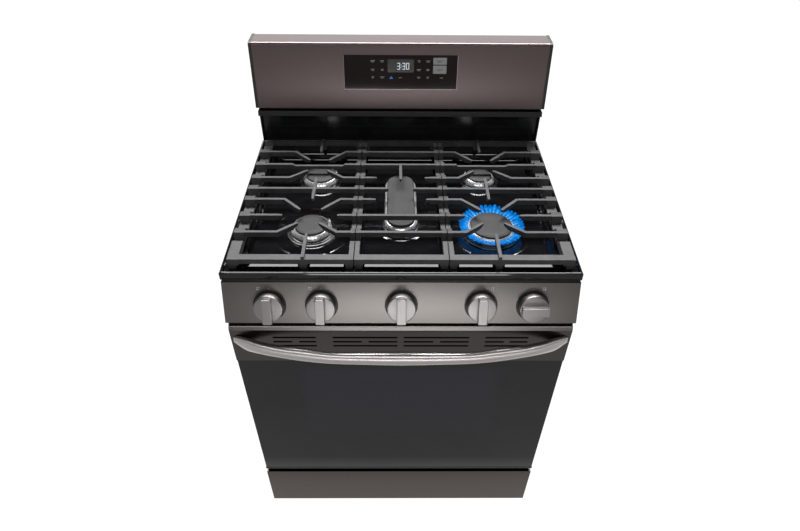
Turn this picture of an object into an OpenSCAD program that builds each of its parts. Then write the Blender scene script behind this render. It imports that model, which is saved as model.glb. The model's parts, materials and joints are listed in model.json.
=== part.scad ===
// Freestanding gas range, 30 inch class, with a slanted knob panel and a rear backguard.
// Millimetres. +X is right seen from the front, the front faces -Y, +Z is up.
// The origin is on the floor, in the middle of the bounding box.

/* [Overall] */
// Width over the cooktop and the backguard
range_w = 759; // [740:1:765]
// Depth from the front of the handle to the rear cover
range_d = 735; // [700:1:760]
// Height of the cooktop's rim above the floor
cooktop_h = 936; // [905:1:940]
// Height of the backguard's top above the floor
overall_h = 1202; // [1150:1:1210]
// Thickness of the painted and stainless sheet
sheet = 1.5; // [1:0.1:2]
// Outer width of the body between the side panels' faces
body_w = 752; // [740:1:756]
// Gap below the body, spanned by the feet
foot_h = 50; // [30:1:60]

/* [Cooktop] */
// Distance from the handle's front back to the cooktop's front edge
cooktop_setback = 100; // [80:1:120]
// Depth of the cooktop, front to back
cooktop_d = 547; // [520:1:560]
// Height of the cooktop's black apron
apron_h = 19; // [12:1:30]
// Drop from the rim to the ledge that the grates stand on
ledge_drop = 5; // [2:1:8]
// Drop from the rim to the basin's floor
basin_drop = 22; // [15:1:30]

/* [Knob panel] */
// Knob centres, measured from the middle
knob_x = [-278.5, -169, 0, 169, 278.5]; // [-330:0.5:330]
// Radius of a knob's disc
knob_r = 30.5; // [25:0.5:35]
// Height of a knob's face above the panel
knob_face = 22; // [15:1:28]
// Height of a knob's grip bar above the panel
knob_top = 38; // [30:1:45]
// Length of the grip bar
grip_l = 56; // [40:1:60]
// Width of the grip bar
grip_w = 19.5; // [12:0.5:24]
// Turn of each knob's grip from upright, in degrees
grip_turn = [0, 0, 0, 0, 90]; // [0:90]
// How far a knob can be pushed in
push_travel = 3; // [2:0.5:4]

/* [Door and drawer] */
// Distance from the handle's front back to the door's face
handle_reach = 64; // [50:1:75]
// Width of the door and of the drawer's front
door_w = 751; // [740:1:755]
// Height of the door's lower edge above the floor
door_z0 = 222; // [210:1:230]
// Height of the door's upper edge above the floor
door_z1 = 815; // [800:1:820]
// Height of the stainless band at the top of the door
trim_h = 117; // [90:1:130]
// Height of the drawer front's upper edge above the floor
drawer_z1 = 206.5; // [190:0.5:210]

/* [Grates] */
// Height of the pan surface above the rim
finger_top = 27; // [22:1:32]
// Height of the grates' outer bars above the rim
frame_top = 20; // [15:1:25]
// Width of a finger
finger_w = 7; // [5:0.5:9]
// Distances of the finger rows from the cooktop's front edge
rows = [105, 166, 227.7, 272.5, 319, 379, 439.5]; // [40:0.5:500]
// Distance of the side burners' columns from the middle
column_x = 206; // [190:1:220]

/* [Burners] */
// Cap radii: front left, back left, front right, back right
cap_r = [38, 36, 48.5, 31]; // [25:0.5:55]
// Cap centres from the middle and from the cooktop's front edge
cap_at = [[-205, 166], [-203, 375], [207, 166], [201, 374]]; // [-300:1:500]
// Half width of the long centre burner
oval_r = 33; // [25:1:40]
// Front and rear ends of the centre burner's cap
oval_y = [160, 370]; // [100:1:450]

/* [Oven] */
// Inner width of the oven
oven_w = 610; // [580:1:620]
// Heights of the oven's inner floor and ceiling
oven_z = [242, 781]; // [230:1:800]
// Front and back of the oven's inside
oven_y = [-252, 235]; // [-260:1:250]
// Heights of the ledges that hold the racks
ledge_z = [326, 383, 440, 497, 554]; // [300:1:700]
// Which ledges the racks stand on, lower and upper
rack_ledges = [0, 2]; // [0:4]

/* [Output] */

/* [Hidden] */
$fn = 48;
eps = 0.01;
front_y = -range_d / 2;
back_y = range_d / 2;
face_y = front_y + handle_reach;
top_y = front_y + cooktop_setback;
top_back_y = top_y + cooktop_d;
body_front_y = -254;
body_back_y = 344;
body_x = body_w / 2;
half_w = range_w / 2;
door_x = door_w / 2;
body_top_z = 912;
basin_z = cooktop_h - basin_drop;
trim_z0 = door_z1 - trim_h;

// The knob panel's outline: a slanted front between a low and a high edge.
panel_low = [-306.9, 827.4];
panel_high = [-274.8, 916.5];
panel_back_y = -262;
panel_x = 376.5;
panel_slant = atan2(panel_high[1] - panel_low[1], panel_high[0] - panel_low[0]);
knob_z = 867.2;
knob_y = panel_low[0] + (knob_z - panel_low[1]) / tan(panel_slant);

// Stems, bores and the knobs' clearances.
stem_r = 3;
running_gap = 0.05;
knob_foot = 2 + push_travel;
stem_top = 16;
stem_end = -48;
valve_front = -24;
valve_back = -69.5;
valve_half_h = 12;

// The door hinge's axis, low in the door's thickness.
hinge_y = -280;
hinge_z = 232;
hinge_pin_r = 4;
hinge_x = 320;

// Layers through the door, front to back.
glass_back_y = face_y + 4.5;
liner_y = -264;
plug_y = -250;
plug_x = 285;
plug_z = [275, 765];
window_x = 240;
window_z = [400, 665];

// Backguard: a face leaning back from its lower edge.
guard_low = [264.5, 1038];
guard_high = [285.5, overall_h];
guard_back_y = 346.5;
guard_lean = atan2(guard_high[0] - guard_low[0], guard_high[1] - guard_low[1]);
end_cap_w = 8;
glass_half = 143.5;
glass_h = [51.9, 136.6];

// Burner layers above the basin's floor.
base_top_z = basin_z + 3;
head_top_z = cooktop_h - 6;
cap_gap = 0.3;
cap_top_z = cooktop_h + 1.5;
head_step = 3;
oval_c = [0, (oval_y[0] + oval_y[1]) / 2];

// A box between two corners.
module box(lo, hi) {
    translate(lo) cube(hi - lo);
}

// A shape and its mirror image on the other side.
module both_sides() {
    children();
    mirror([1, 0, 0]) children();
}

// A (y, z) outline drawn out along X between x0 and x1.
module prism_x(outline, x0, x1) {
    translate([x0, 0, 0]) rotate([90, 0, 90]) linear_extrude(x1 - x0) polygon(outline);
}

// A rectangle with round corners, between two corner points.
module round_rect(lo, hi, r) {
    translate([lo[0] + r, lo[1]]) square([hi[0] - lo[0] - 2 * r, hi[1] - lo[1]]);
    translate([lo[0], lo[1] + r]) square([hi[0] - lo[0], hi[1] - lo[1] - 2 * r]);
    for (x = [lo[0] + r, hi[0] - r]) {
        for (y = [lo[1] + r, hi[1] - r]) {
            translate([x, y]) circle(r);
        }
    }
}

// An upright plate in the XZ plane, from y0 to y1, cut from a 2D shape.
module plate_y(y0, y1) {
    translate([0, y1, 0]) rotate([90, 0, 0]) linear_extrude(y1 - y0) children();
}

// A straight round bar between two points.
module rod(a, b, r) {
    d = b - a;
    turn = atan2(d[1], d[0]);
    lean = acos(d[2] / norm(d));
    translate(a) rotate([0, lean, turn]) cylinder(r = r, h = norm(d), $fn = 24);
}

// A bent round bar through a list of points, with a slightly fuller ball at each bend.
module bent_rod(points, r) {
    for (i = [0 : len(points) - 2]) {
        rod(points[i], points[i + 1], r);
    }
    for (i = [1 : len(points) - 2]) {
        translate(points[i]) sphere(r = r + 0.25, $fn = 24);
    }
}

// The frame of the cooktop: y from its front edge, z from its rim.
module on_cooktop() {
    translate([0, top_y, cooktop_h]) children();
}

// The frame of one knob: z stands out of the panel, y runs up it.
module on_knob_panel(x) {
    translate([x, knob_y, knob_z]) rotate([panel_slant, 0, 0]) children();
}

// The frame of the backguard's face: z runs up it, y goes inward.
module on_backguard() {
    translate([0, guard_low[0], guard_low[1]]) rotate([-guard_lean, 0, 0]) children();
}

// The outline of the long centre burner, grown by a margin.
module oval_outline(grow) {
    r = oval_r + grow;
    for (y = [oval_y[0] + oval_r, oval_y[1] - oval_r]) {
        translate([0, y]) circle(r);
    }
    translate([-r, oval_y[0] + oval_r]) square([2 * r, oval_y[1] - oval_y[0] - 2 * oval_r]);
}

// ---------------------------------------------------------------- body

module side_panel() {
    x1 = body_x;
    x0 = x1 - sheet;
    box([x0, body_front_y, foot_h], [x1, body_back_y, body_top_z]);
    box([x1 - 10, body_front_y, foot_h], [x1, body_front_y + sheet, body_top_z]);
    box([x1 - 24, body_back_y - sheet, foot_h], [x1, body_back_y, body_top_z]);
}

module side_panels() {
    color([0.16, 0.15, 0.15]) both_sides() side_panel();
}

module rear_cover() {
    cover_x = 240;
    cover_z = [130, 860];
    vent_z = [700, 720, 740, 760, 780, 800];
    color([0.62, 0.63, 0.64]) difference() {
        union() {
            difference() {
                box([-374, body_back_y, 60], [374, body_back_y + sheet, body_top_z]);
                box([-cover_x + 12, body_back_y - 1, cover_z[0] + 12],
                    [cover_x - 12, body_back_y + 3, cover_z[1] - 12]);
            }
            difference() {
                box([-cover_x, body_back_y + sheet - eps, cover_z[0]],
                    [cover_x, back_y, cover_z[1]]);
                box([-cover_x + sheet, body_back_y - 1, cover_z[0] + sheet],
                    [cover_x - sheet, back_y - sheet, cover_z[1] - sheet]);
            }
        }
        // Louvre slots near the top of the cover.
        for (z = vent_z) {
            for (x = [-150, 0, 150]) {
                box([x - 55, back_y - 4, z], [x + 55, back_y + 1, z + 6]);
            }
        }
        // Gland hole for the mains cord, and the corner cut away at the gas inlet.
        translate([-200, back_y - 5, 180]) rotate([-90, 0, 0]) cylinder(r = 11.1, h = 10);
        box([300, body_back_y - 1, 50], [354, body_back_y + 3, 158]);
    }
}

foot_at = [[-345, -222], [345, -222], [-345, 318], [345, 318]];
stud_r = 5;

module base_frame() {
    z0 = 56;
    z1 = z0 + 2;
    y1 = body_back_y - sheet - 0.5;
    color([0.55, 0.56, 0.57]) difference() {
        union() {
            both_sides() {
                box([322, -250, z0], [373, y1, z1]);
                box([371, -250, z0], [373, y1, 100]);
            }
            box([-373, -250, z0], [373, -226, z1]);
            box([-373, -250, z0], [373, -248, 66]);
            box([-373, 300, z0], [373, y1, z1]);
            box([-373, y1 - 2, z0], [373, y1, 80]);
        }
        for (p = foot_at) {
            translate([p[0], p[1], z0 - 5]) cylinder(r = stud_r + 0.15, h = 15);
        }
    }
}

module leveling_feet() {
    color([0.2, 0.2, 0.2]) for (p = foot_at) {
        translate([p[0], p[1], 0]) {
            cylinder(r = 17, h = 4);
            translate([0, 0, 4 - eps]) cylinder(r1 = 17, r2 = 13, h = 8);
            translate([0, 0, 12 - 2 * eps]) cylinder(r = 11, h = 9, $fn = 6);
            translate([0, 0, 20]) cylinder(r = stud_r, h = 52);
        }
    }
}

// ---------------------------------------------------------------- cooktop

// A flat ring of the cooktop's plan, between two insets from its edge.
module top_band(outer, inner, r_outer, r_inner) {
    difference() {
        round_rect([-half_w + outer, outer], [half_w - outer, cooktop_d - outer], r_outer);
        round_rect([-half_w + inner[0], inner[1]],
                   [half_w - inner[0], cooktop_d - inner[2]], r_inner);
    }
}

module cooktop() {
    t = 2;
    lip = 6;
    basin_inset = [44, 44, 62];
    floor_holes = 26;
    color([0.03, 0.03, 0.035]) on_cooktop() difference() {
        union() {
            // Apron, rim, ledge, basin wall and basin floor.
            translate([0, 0, -apron_h]) linear_extrude(apron_h)
                top_band(0, [t, t, t], 6, 4);
            translate([0, 0, -t]) linear_extrude(t)
                top_band(0, [lip, lip, lip], 6, 10);
            translate([0, 0, -ledge_drop - t]) linear_extrude(ledge_drop + t)
                top_band(lip - t, [lip, lip, lip], 12, 10);
            translate([0, 0, -ledge_drop - t]) linear_extrude(t)
                top_band(lip - t, basin_inset, 12, 24);
            translate([0, 0, -basin_drop - t]) linear_extrude(basin_drop - ledge_drop + t)
                top_band(basin_inset[0] - t, basin_inset, 26, 24);
            translate([0, 0, -basin_drop - t]) linear_extrude(t)
                round_rect([-half_w + basin_inset[0] - 1, basin_inset[1] - 1],
                           [half_w - basin_inset[0] + 1, cooktop_d - basin_inset[2] + 1], 25);
            // Embossed rings round the burners.
            for (i = [0 : 3]) {
                translate([cap_at[i][0], cap_at[i][1], -basin_drop - eps]) {
                    difference() {
                        cylinder(r1 = cap_r[i] + 30, r2 = cap_r[i] + 27, h = 3);
                        translate([0, 0, -1]) cylinder(r = cap_r[i] + 22, h = 5);
                    }
                }
            }
            translate([0, 0, -basin_drop - eps]) linear_extrude(3) difference() {
                oval_outline(26);
                oval_outline(21);
            }
        }
        for (i = [0 : 3]) {
            translate([cap_at[i][0], cap_at[i][1], -basin_drop - 5])
                cylinder(r = floor_holes, h = 10);
        }
        for (y = [oval_y[0] + 40, oval_y[1] - 40]) {
            translate([0, y, -basin_drop - 5]) cylinder(r = floor_holes - 4, h = 10);
        }
    }
}

// ---------------------------------------------------------------- knob panel

module control_panel() {
    t = sheet;
    outer = [panel_high, panel_low, [panel_back_y, panel_low[1]], [panel_back_y, panel_high[1]]];
    inner = [
        [panel_high[0] + 1.1, panel_high[1] - t], [panel_low[0] + 2.2, panel_low[1] + t],
        [panel_back_y + 5, panel_low[1] + t], [panel_back_y + 5, panel_high[1] - t]
    ];
    color([0.36, 0.33, 0.31]) difference() {
        prism_x(outer, -panel_x, panel_x);
        prism_x(inner, -panel_x + t, panel_x - t);
        for (x = knob_x) {
            on_knob_panel(x) translate([0, 0, -8]) cylinder(r = 7, h = 16);
        }
    }
}

module knob_bezels() {
    color([0.05, 0.05, 0.05]) for (x = knob_x) {
        on_knob_panel(x) difference() {
            union() {
                cylinder(r = 35, h = 1);
                translate([0, 0, 1 - eps]) cylinder(r1 = 35, r2 = 34.2, h = 0.8);
            }
            translate([0, 0, -1]) cylinder(r = 7, h = 5);
        }
    }
}

// The D-shaped end is left round, because the knob turns on the stem here.
module valve_stem(i) {
    color([0.75, 0.62, 0.35]) on_knob_panel(knob_x[i]) {
        translate([0, 0, stem_end]) cylinder(r = stem_r, h = stem_top - stem_end);
    }
}

module knob(i) {
    wall = 3;
    hub_r = 6.5;
    chamfer = 1.4;
    color([0.6, 0.57, 0.55]) on_knob_panel(knob_x[i]) difference() {
        union() {
            translate([0, 0, knob_foot]) cylinder(r = knob_r, h = knob_face - chamfer - knob_foot);
            translate([0, 0, knob_face - chamfer])
                cylinder(r1 = knob_r, r2 = knob_r - chamfer, h = chamfer);
            rotate([0, 0, grip_turn[i]]) translate([0, 0, knob_face - 1])
                linear_extrude(knob_top - knob_face + 1)
                    round_rect([-grip_w / 2, -grip_l / 2], [grip_w / 2, grip_l / 2], 2.5);
        }
        difference() {
            translate([0, 0, knob_foot - 1])
                cylinder(r = knob_r - wall, h = knob_face - wall - knob_foot + 1);
            translate([0, 0, knob_foot - 2]) cylinder(r = hub_r, h = knob_face);
        }
        translate([0, 0, knob_foot - 3]) cylinder(r = stem_r + running_gap, h = stem_top - knob_foot + 4);
    }
}

module burner_valves() {
    color([0.7, 0.68, 0.62]) for (x = knob_x) {
        on_knob_panel(x) difference() {
            union() {
                translate([-11, -valve_half_h, valve_back])
                    cube([22, 2 * valve_half_h, valve_front - 6 - valve_back]);
                translate([0, 0, valve_front - 7]) cylinder(r = 9, h = 7);
            }
            translate([0, 0, stem_end - push_travel - 1])
                cylinder(r = stem_r + running_gap, h = 40);
        }
    }
}

// ---------------------------------------------------------------- gas system

manifold_y = -218;
manifold_z = 841;
manifold_r = 9;
feed_x = 332;
inlet_z = 112;

module gas_manifold() {
    color([0.6, 0.6, 0.6])
        bent_rod([
            [-310, manifold_y, manifold_z], [feed_x, manifold_y, manifold_z],
            [feed_x, 318, manifold_z], [feed_x, 318, inlet_z + 26]
        ], manifold_r);
}

// Regulator body with a female half-inch pipe thread facing the wall.
module pressure_regulator() {
    inlet_r = 9.9;
    color([0.55, 0.55, 0.52]) translate([feed_x, 0, inlet_z]) difference() {
        union() {
            translate([-17, 296, -18]) cube([34, 32, 43]);
            translate([0, 308, 3]) rotate([0, -90, 0]) cylinder(r = 19, h = 36);
            translate([0, 327, 0]) rotate([-90, 0, 0]) cylinder(r = 14, h = 20);
        }
        translate([0, 330, 0]) rotate([-90, 0, 0]) cylinder(r = inlet_r, h = 18);
    }
}

// Each tube stands square on its valve's outlet, runs level and turns down into a burner.
module burner_tubes() {
    z = 874;
    neck_z = basin_z - 21;
    outlet = 52;
    outlet_y = knob_y + outlet * sin(panel_slant) + (valve_half_h + 0.1) * cos(panel_slant);
    outlet_z = knob_z - outlet * cos(panel_slant) + (valve_half_h + 0.1) * sin(panel_slant);
    bend_y = outlet_y + (z - outlet_z) / tan(panel_slant);
    tube_r = 6;
    pairs = [[0, cap_at[0]], [1, cap_at[1]], [4, cap_at[2]], [3, cap_at[3]], [2, oval_c]];
    color([0.75, 0.75, 0.76]) for (p = pairs) {
        bent_rod([
            [knob_x[p[0]], outlet_y, outlet_z], [knob_x[p[0]], bend_y, z],
            [p[1][0], top_y + p[1][1], z], [p[1][0], top_y + p[1][1], neck_z]
        ], tube_r);
    }
}

module burner_bases() {
    neck_h = 20;
    color([0.5, 0.5, 0.5]) {
        for (i = [0 : 3]) {
            translate([cap_at[i][0], top_y + cap_at[i][1], basin_z - neck_h]) {
                cylinder(r = 24, h = neck_h + 3);
                translate([0, 0, neck_h]) cylinder(r = cap_r[i] + head_step + 1, h = 3);
            }
        }
        translate([0, top_y, basin_z]) linear_extrude(3) oval_outline(head_step + 1);
        translate([0, top_y + oval_c[1], basin_z - 0.1]) {
            for (y = [-65, 65]) {
                translate([0, y, -neck_h]) cylinder(r = 20, h = neck_h + 2);
            }
            box([-14, -64, -neck_h], [14, 64, -8]);
        }
    }
}

// A round aluminium head: a ring with radial flame ports and a seat for the cap.
module round_head(r) {
    ports = round(r * 0.8);
    h = head_top_z - base_top_z;
    difference() {
        union() {
            cylinder(r = r, h = h - 2);
            translate([0, 0, h - 2 - eps]) cylinder(r1 = r, r2 = r - 2, h = 2);
        }
        translate([0, 0, 3]) cylinder(r = r - 10, h = h);
        for (k = [0 : ports - 1]) {
            rotate([0, 0, k * 360 / ports])
                translate([r - 11, -0.9, h - 7]) cube([15, 1.8, 3.5]);
        }
    }
}

module burner_heads() {
    h = head_top_z - base_top_z;
    color([0.82, 0.82, 0.82]) {
        for (i = [0 : 3]) {
            translate([cap_at[i][0], top_y + cap_at[i][1], base_top_z])
                round_head(cap_r[i] + head_step);
        }
        translate([0, top_y, base_top_z]) difference() {
            linear_extrude(h) oval_outline(head_step);
            translate([0, 0, 3]) linear_extrude(h) oval_outline(head_step - 10);
            for (k = [0 : 13]) {
                translate([-60, oval_y[0] + oval_r + k * 11, h - 7]) cube([120, 1.8, 3.5]);
            }
        }
    }
}

module igniters() {
    gap = 7;
    color([0.92, 0.9, 0.85]) {
        for (i = [0 : 3]) {
            side = cap_at[i][0] < 0 ? 1 : -1;
            translate([cap_at[i][0] + side * (cap_r[i] + head_step + gap) * 0.8,
                       top_y + cap_at[i][1] + (cap_r[i] + head_step + gap) * 0.6, basin_z]) {
                cylinder(r = 2.6, h = 10, $fn = 24);
                cylinder(r = 1, h = 14, $fn = 24);
            }
        }
        translate([0, top_y + oval_y[0] - 10, basin_z]) {
            cylinder(r = 2.6, h = 10, $fn = 24);
            cylinder(r = 1, h = 14, $fn = 24);
        }
    }
}

// A cap with a rounded edge, a shallow dish and a locating skirt below.
module round_cap(r) {
    t = cap_top_z - head_top_z - cap_gap;
    edge = 3;
    rotate_extrude($fn = 96) union() {
        square([r, t - edge]);
        square([r - edge, t]);
        translate([r - edge, t - edge]) circle(edge, $fn = 32);
    }
    translate([0, 0, -4]) difference() {
        cylinder(r = r - 8.5, h = 5);
        translate([0, 0, -1]) cylinder(r = r - 11, h = 8);
    }
}

module cap(i) {
    color([0.2, 0.19, 0.19])
        translate([cap_at[i][0], top_y + cap_at[i][1], head_top_z + cap_gap]) round_cap(cap_r[i]);
}

module cap_center() {
    t = cap_top_z - head_top_z - cap_gap;
    color([0.2, 0.19, 0.19]) translate([0, top_y, head_top_z + cap_gap]) {
        difference() {
            union() {
                linear_extrude(t - 2) oval_outline(0);
                linear_extrude(t) oval_outline(-2);
            }
            // Dished panels on both sides of the middle rib.
            translate([0, 0, t - 2]) linear_extrude(3) difference() {
                oval_outline(-7);
                translate([-6, 0]) square([12, 500]);
            }
        }
        translate([0, 0, -4]) linear_extrude(5) difference() {
            oval_outline(-8.5);
            oval_outline(-11);
        }
    }
}

// ---------------------------------------------------------------- grates

bar_bottom = 7.5;
side_bottom = 2;
side_low = 9;
finger_bottom = 14;
foot_bottom = -ledge_drop;
grate_y = [20, 510];
split_x = 100;
outer_x = [341, 364];
inner_bar_w = 10;

// The side bars' outline: level at the front, then a plateau at each finger row that slopes
// away behind it into a low saddle.
bar_profile = concat(
    [[grate_y[0], side_bottom], [grate_y[0], frame_top], [rows[0] - 24, frame_top],
     [rows[0] - 17, side_low]],
    [for (y = rows) each [
        [y - finger_w / 2 - 3, side_low], [y - finger_w / 2 - 0.6, finger_top],
        [y + finger_w / 2 + 0.6, finger_top], [y + 15, finger_top - 2.5], [y + 23, frame_top - 2],
        [y + 31, side_low]
    ]],
    [[grate_y[1] - 14, side_low], [grate_y[1] - 9, frame_top], [grate_y[1], frame_top],
     [grate_y[1], side_bottom]]
);

module side_bar(x0, x1) {
    prism_x(bar_profile, x0, x1);
}

// A straight finger along X whose free end is cut back underneath.
module finger_x(x0, x1, y, free_end) {
    lift = free_end ? 6 : 0;
    dir = x1 > x0 ? 1 : -1;
    translate([0, y + finger_w / 2, 0]) rotate([90, 0, 0]) linear_extrude(finger_w)
        polygon([[x0, finger_bottom], [x1 - dir * lift * 2, finger_bottom],
                 [x1, finger_bottom + lift], [x1, finger_top], [x0, finger_top]]);
}

// A finger that runs from the wall to a bend and slants on to a narrower tip.
module bent_finger(wall, bend, tip) {
    half = finger_w / 2;
    along = (bend - wall) / norm(bend - wall);
    slant = (tip - bend) / norm(tip - bend);
    side_a = [-along[1], along[0]] * half;
    side_b = [-slant[1], slant[0]] * half;
    mitre = (side_a + side_b) / (1 + side_a * side_b / (half * half));
    translate([0, 0, finger_bottom]) linear_extrude(finger_top - finger_bottom)
        polygon([wall + side_a, bend + mitre, tip + side_b * 0.7,
                 tip - side_b * 0.7, bend - mitre, wall - side_a]);
}

// A finger along Y between two rows or bars.
module finger_y(x, y0, y1) {
    box([x - finger_w / 2, y0, finger_bottom], [x + finger_w / 2, y1, finger_top]);
}

// Front and rear bars of one grate, with feet at the corners and below the middle finger.
module end_bars(x0, x1, foot_x) {
    front = [grate_y[0], 37];
    rear = [501, grate_y[1]];
    for (bar = [front, rear]) {
        box([x0, bar[0], bar_bottom], [x1, bar[1], frame_top]);
        for (x = foot_x) {
            box([x - 8, bar[0], foot_bottom + 0.2], [x + 8, bar[1], bar_bottom + 1]);
        }
    }
}

// The grate on the right; the left one is its mirror image.
module side_grate() {
    slant_start = 65;
    slant_end = 24;
    slant_y = [138, 187, 352, 399];
    slant_rows = [0, 2, 4, 6];
    inner = split_x + 1;
    inner_bar = inner + inner_bar_w;
    end_bars(inner, outer_x[1], [inner + 8, column_x, outer_x[1] - 8]);
    side_bar(outer_x[0], outer_x[1]);
    side_bar(inner, inner_bar);
    for (k = [0 : 3]) {
        y = rows[slant_rows[k]];
        for (s = [-1, 1]) {
            wall = s < 0 ? inner_bar - 1 : outer_x[0] + 1;
            bent_finger([wall, y], [column_x + s * slant_start, y],
                        [column_x + s * slant_end, slant_y[k]]);
        }
    }
    finger_x(inner_bar - 1, column_x - 62, rows[1], true);
    finger_x(outer_x[0] + 1, column_x + 62, rows[1], true);
    finger_x(inner_bar - 1, outer_x[0] + 1, rows[3], false);
    difference() {
        finger_x(inner_bar - 1, outer_x[0] + 1, rows[5], false);
        box([column_x - 62, rows[5] - 9, finger_top - 4], [column_x + 62, rows[5] + 9, finger_top + 2]);
    }
    finger_y(column_x, grate_y[0], 100);
    finger_y(column_x, rows[2], rows[4]);
    finger_y(column_x, rows[6], 502);
}

module grate_right() {
    color([0.22, 0.22, 0.23]) on_cooktop() side_grate();
}

module grate_left() {
    color([0.22, 0.22, 0.23]) on_cooktop() mirror([1, 0, 0]) side_grate();
}

module grate_center() {
    edge = split_x - 1;
    wall = edge - inner_bar_w;
    color([0.22, 0.22, 0.23]) on_cooktop() {
        end_bars(-edge, edge, [-edge + 8, edge - 8]);
        both_sides() side_bar(wall, edge);
        for (k = [0, 1, 5, 6]) {
            finger_x(-wall - 1, wall + 1, rows[k], false);
        }
        both_sides() {
            finger_x(wall + 1, 59, rows[2], true);
            finger_x(wall + 1, 59, rows[4], true);
            finger_x(wall + 1, 29.5, rows[3], true);
        }
        finger_y(0, 312, rows[5]);
    }
}

// ---------------------------------------------------------------- backguard

// Points along the guard's rounded upper front edge.
guard_edge_r = 7;
function guard_edge(r, steps) = [
    for (k = [0 : steps])
        let (a = 180 - guard_lean - k * (90 - guard_lean) / steps)
            [guard_high[0] + guard_edge_r + r * cos(a), guard_high[1] - guard_edge_r + r * sin(a)]
];

// The outline of the backguard in (y, z), shrunk inwards by a skin.
function guard_outline(skin) = concat(
    [[guard_low[0] + skin, guard_low[1] + skin]],
    guard_edge(guard_edge_r - skin, 8),
    [[guard_back_y - skin, guard_high[1] - skin], [guard_back_y - skin, guard_low[1] + skin]]
);

module backguard_panel() {
    x = half_w - end_cap_w;
    t = 1.2;
    color([0.38, 0.34, 0.33]) difference() {
        prism_x(guard_outline(0), -x, x);
        prism_x(guard_outline(t), -x - 1, x + 1);
        // Open back and bottom, and the window for the control glass.
        box([-x - 1, guard_back_y - 3, guard_low[1] - 1], [x + 1, guard_back_y + 1, overall_h + 1]);
        box([-x - 1, guard_low[0] + 10, guard_low[1] - 1], [x + 1, guard_back_y, guard_low[1] + 3]);
        on_backguard() box([-glass_half - 0.3, -6, glass_h[0] - 0.3],
                           [glass_half + 0.3, 6, glass_h[1] + 0.3]);
    }
}

module backguard_housing() {
    t = sheet;
    color([0.2, 0.19, 0.19]) {
        both_sides() {
            prism_x(guard_outline(0), half_w - end_cap_w, half_w);
            box([body_x - t, 284, body_top_z], [body_x, guard_back_y, guard_low[1] + 1]);
        }
        box([-body_x, guard_back_y - t, body_top_z], [body_x, guard_back_y, overall_h - 6]);
        // Floor of the guard, behind the vent slot.
        box([-half_w + end_cap_w, 284, guard_low[1]],
            [half_w - end_cap_w, guard_back_y - t, guard_low[1] + t]);
    }
}

module control_glass() {
    color([0.06, 0.04, 0.04]) on_backguard()
        box([-glass_half, -1.2, glass_h[0]], [glass_half, 2.4, glass_h[1]]);
}

module control_board() {
    color([0.1, 0.35, 0.2]) on_backguard() {
        box([-130, 14, 56], [130, 15.6, 132]);
        box([-30, 5, 92], [30, 14 + eps, 124]);
        box([-118, 15.6 - eps, 64], [-84, 34, 96]);
        box([60, 15.6 - eps, 64], [84, 27, 116]);
    }
}

module vent_trim() {
    rail = [[250, 1023], [252.5, 1034], [263, 1034], [263, 1021], [253, 1021]];
    splash_y = top_back_y + 0.5;
    color([0.04, 0.04, 0.045]) {
        // Rail below the backguard, standing on two end brackets.
        prism_x(rail, -373, 373);
        both_sides() {
            box([368, 262, 1021], [373, splash_y + 1, 1034]);
            box([371, 268, cooktop_h], [373, splash_y + 1, 1022]);
        }
        // Backsplash behind the cooktop.
        box([-377, splash_y, cooktop_h - 4], [377, splash_y + 2, 1022]);
    }
}

// ---------------------------------------------------------------- oven

module oven_cavity() {
    t = sheet;
    x = oven_w / 2;
    color([0.12, 0.13, 0.16]) {
        difference() {
            box([-x - t, oven_y[0], oven_z[0] - t], [x + t, oven_y[1] + t, oven_z[1] + t]);
            box([-x, oven_y[0] - 1, oven_z[0]], [x, oven_y[1], oven_z[1]]);
            translate([-200, 225, 700]) rotate([-90, 0, 0]) cylinder(r = 18, h = 20);
        }
        // Ledges that hold the racks.
        for (z = ledge_z) {
            both_sides() box([x - 12, oven_y[0] + 17, z - 3], [x + eps, oven_y[1] - 10, z]);
        }
    }
}

module oven_front_frame() {
    color([0.14, 0.14, 0.16]) plate_y(body_front_y, body_front_y + 2) difference() {
        translate([-365.5, 212]) square([731, 610]);
        round_rect([-300, 262], [300, 775], 14);
    }
}

module oven_gasket() {
    color([0.3, 0.3, 0.32]) plate_y(-261.8, -254.2) difference() {
        round_rect([-307, 255], [307, 782], 18);
        round_rect([-300, 262], [300, 775], 14);
    }
}

module oven_insulation() {
    x = oven_w / 2 + 3;
    color([0.85, 0.8, 0.55]) difference() {
        box([-x - 30, -249, oven_z[0] - 30], [x + 30, 266, oven_z[1] + 32]);
        box([-x, -250, oven_z[0] - 4], [x, oven_y[1] + 4, oven_z[1] + 4]);
        translate([-200, 225, 700]) rotate([-90, 0, 0]) cylinder(r = 20, h = 60);
    }
}

module oven_floor() {
    z = 272;
    color([0.14, 0.15, 0.18]) difference() {
        union() {
            box([-295, -244, z - sheet], [295, 226, z]);
            both_sides() box([293.5, -244, z - 14], [295, 226, z]);
        }
        for (y = [-150 : 60 : 150]) {
            both_sides() box([255, y, z - 5], [280, y + 8, z + 5]);
        }
    }
}

module bake_burner() {
    z = 254;
    color([0.7, 0.7, 0.7]) {
        bent_rod([[-150, -180, z], [-150, 160, z], [0, 200, z]], 7);
        bent_rod([[150, -180, z], [150, 160, z], [0, 200, z]], 7);
        rod([0, 195, z], [0, 234, z], 8);
        rod([-150, -100, z], [150, -100, z], 6);
    }
}

module broil_burner() {
    color([0.7, 0.7, 0.7]) difference() {
        union() {
            box([-110, -160, 752], [110, 120, 768]);
            box([-20, 118, 754], [20, 234, 766]);
            both_sides() box([90, -60, 766], [100, 40, oven_z[1]]);
        }
        // Hollow box with a slotted underside.
        box([-108, -158, 754], [108, 118, 766]);
        box([-18, 110, 756], [18, 230, 764]);
        for (x = [-96 : 16 : 96]) {
            box([x - 3, -150, 751], [x + 3, 108, 755]);
        }
    }
}

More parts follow.
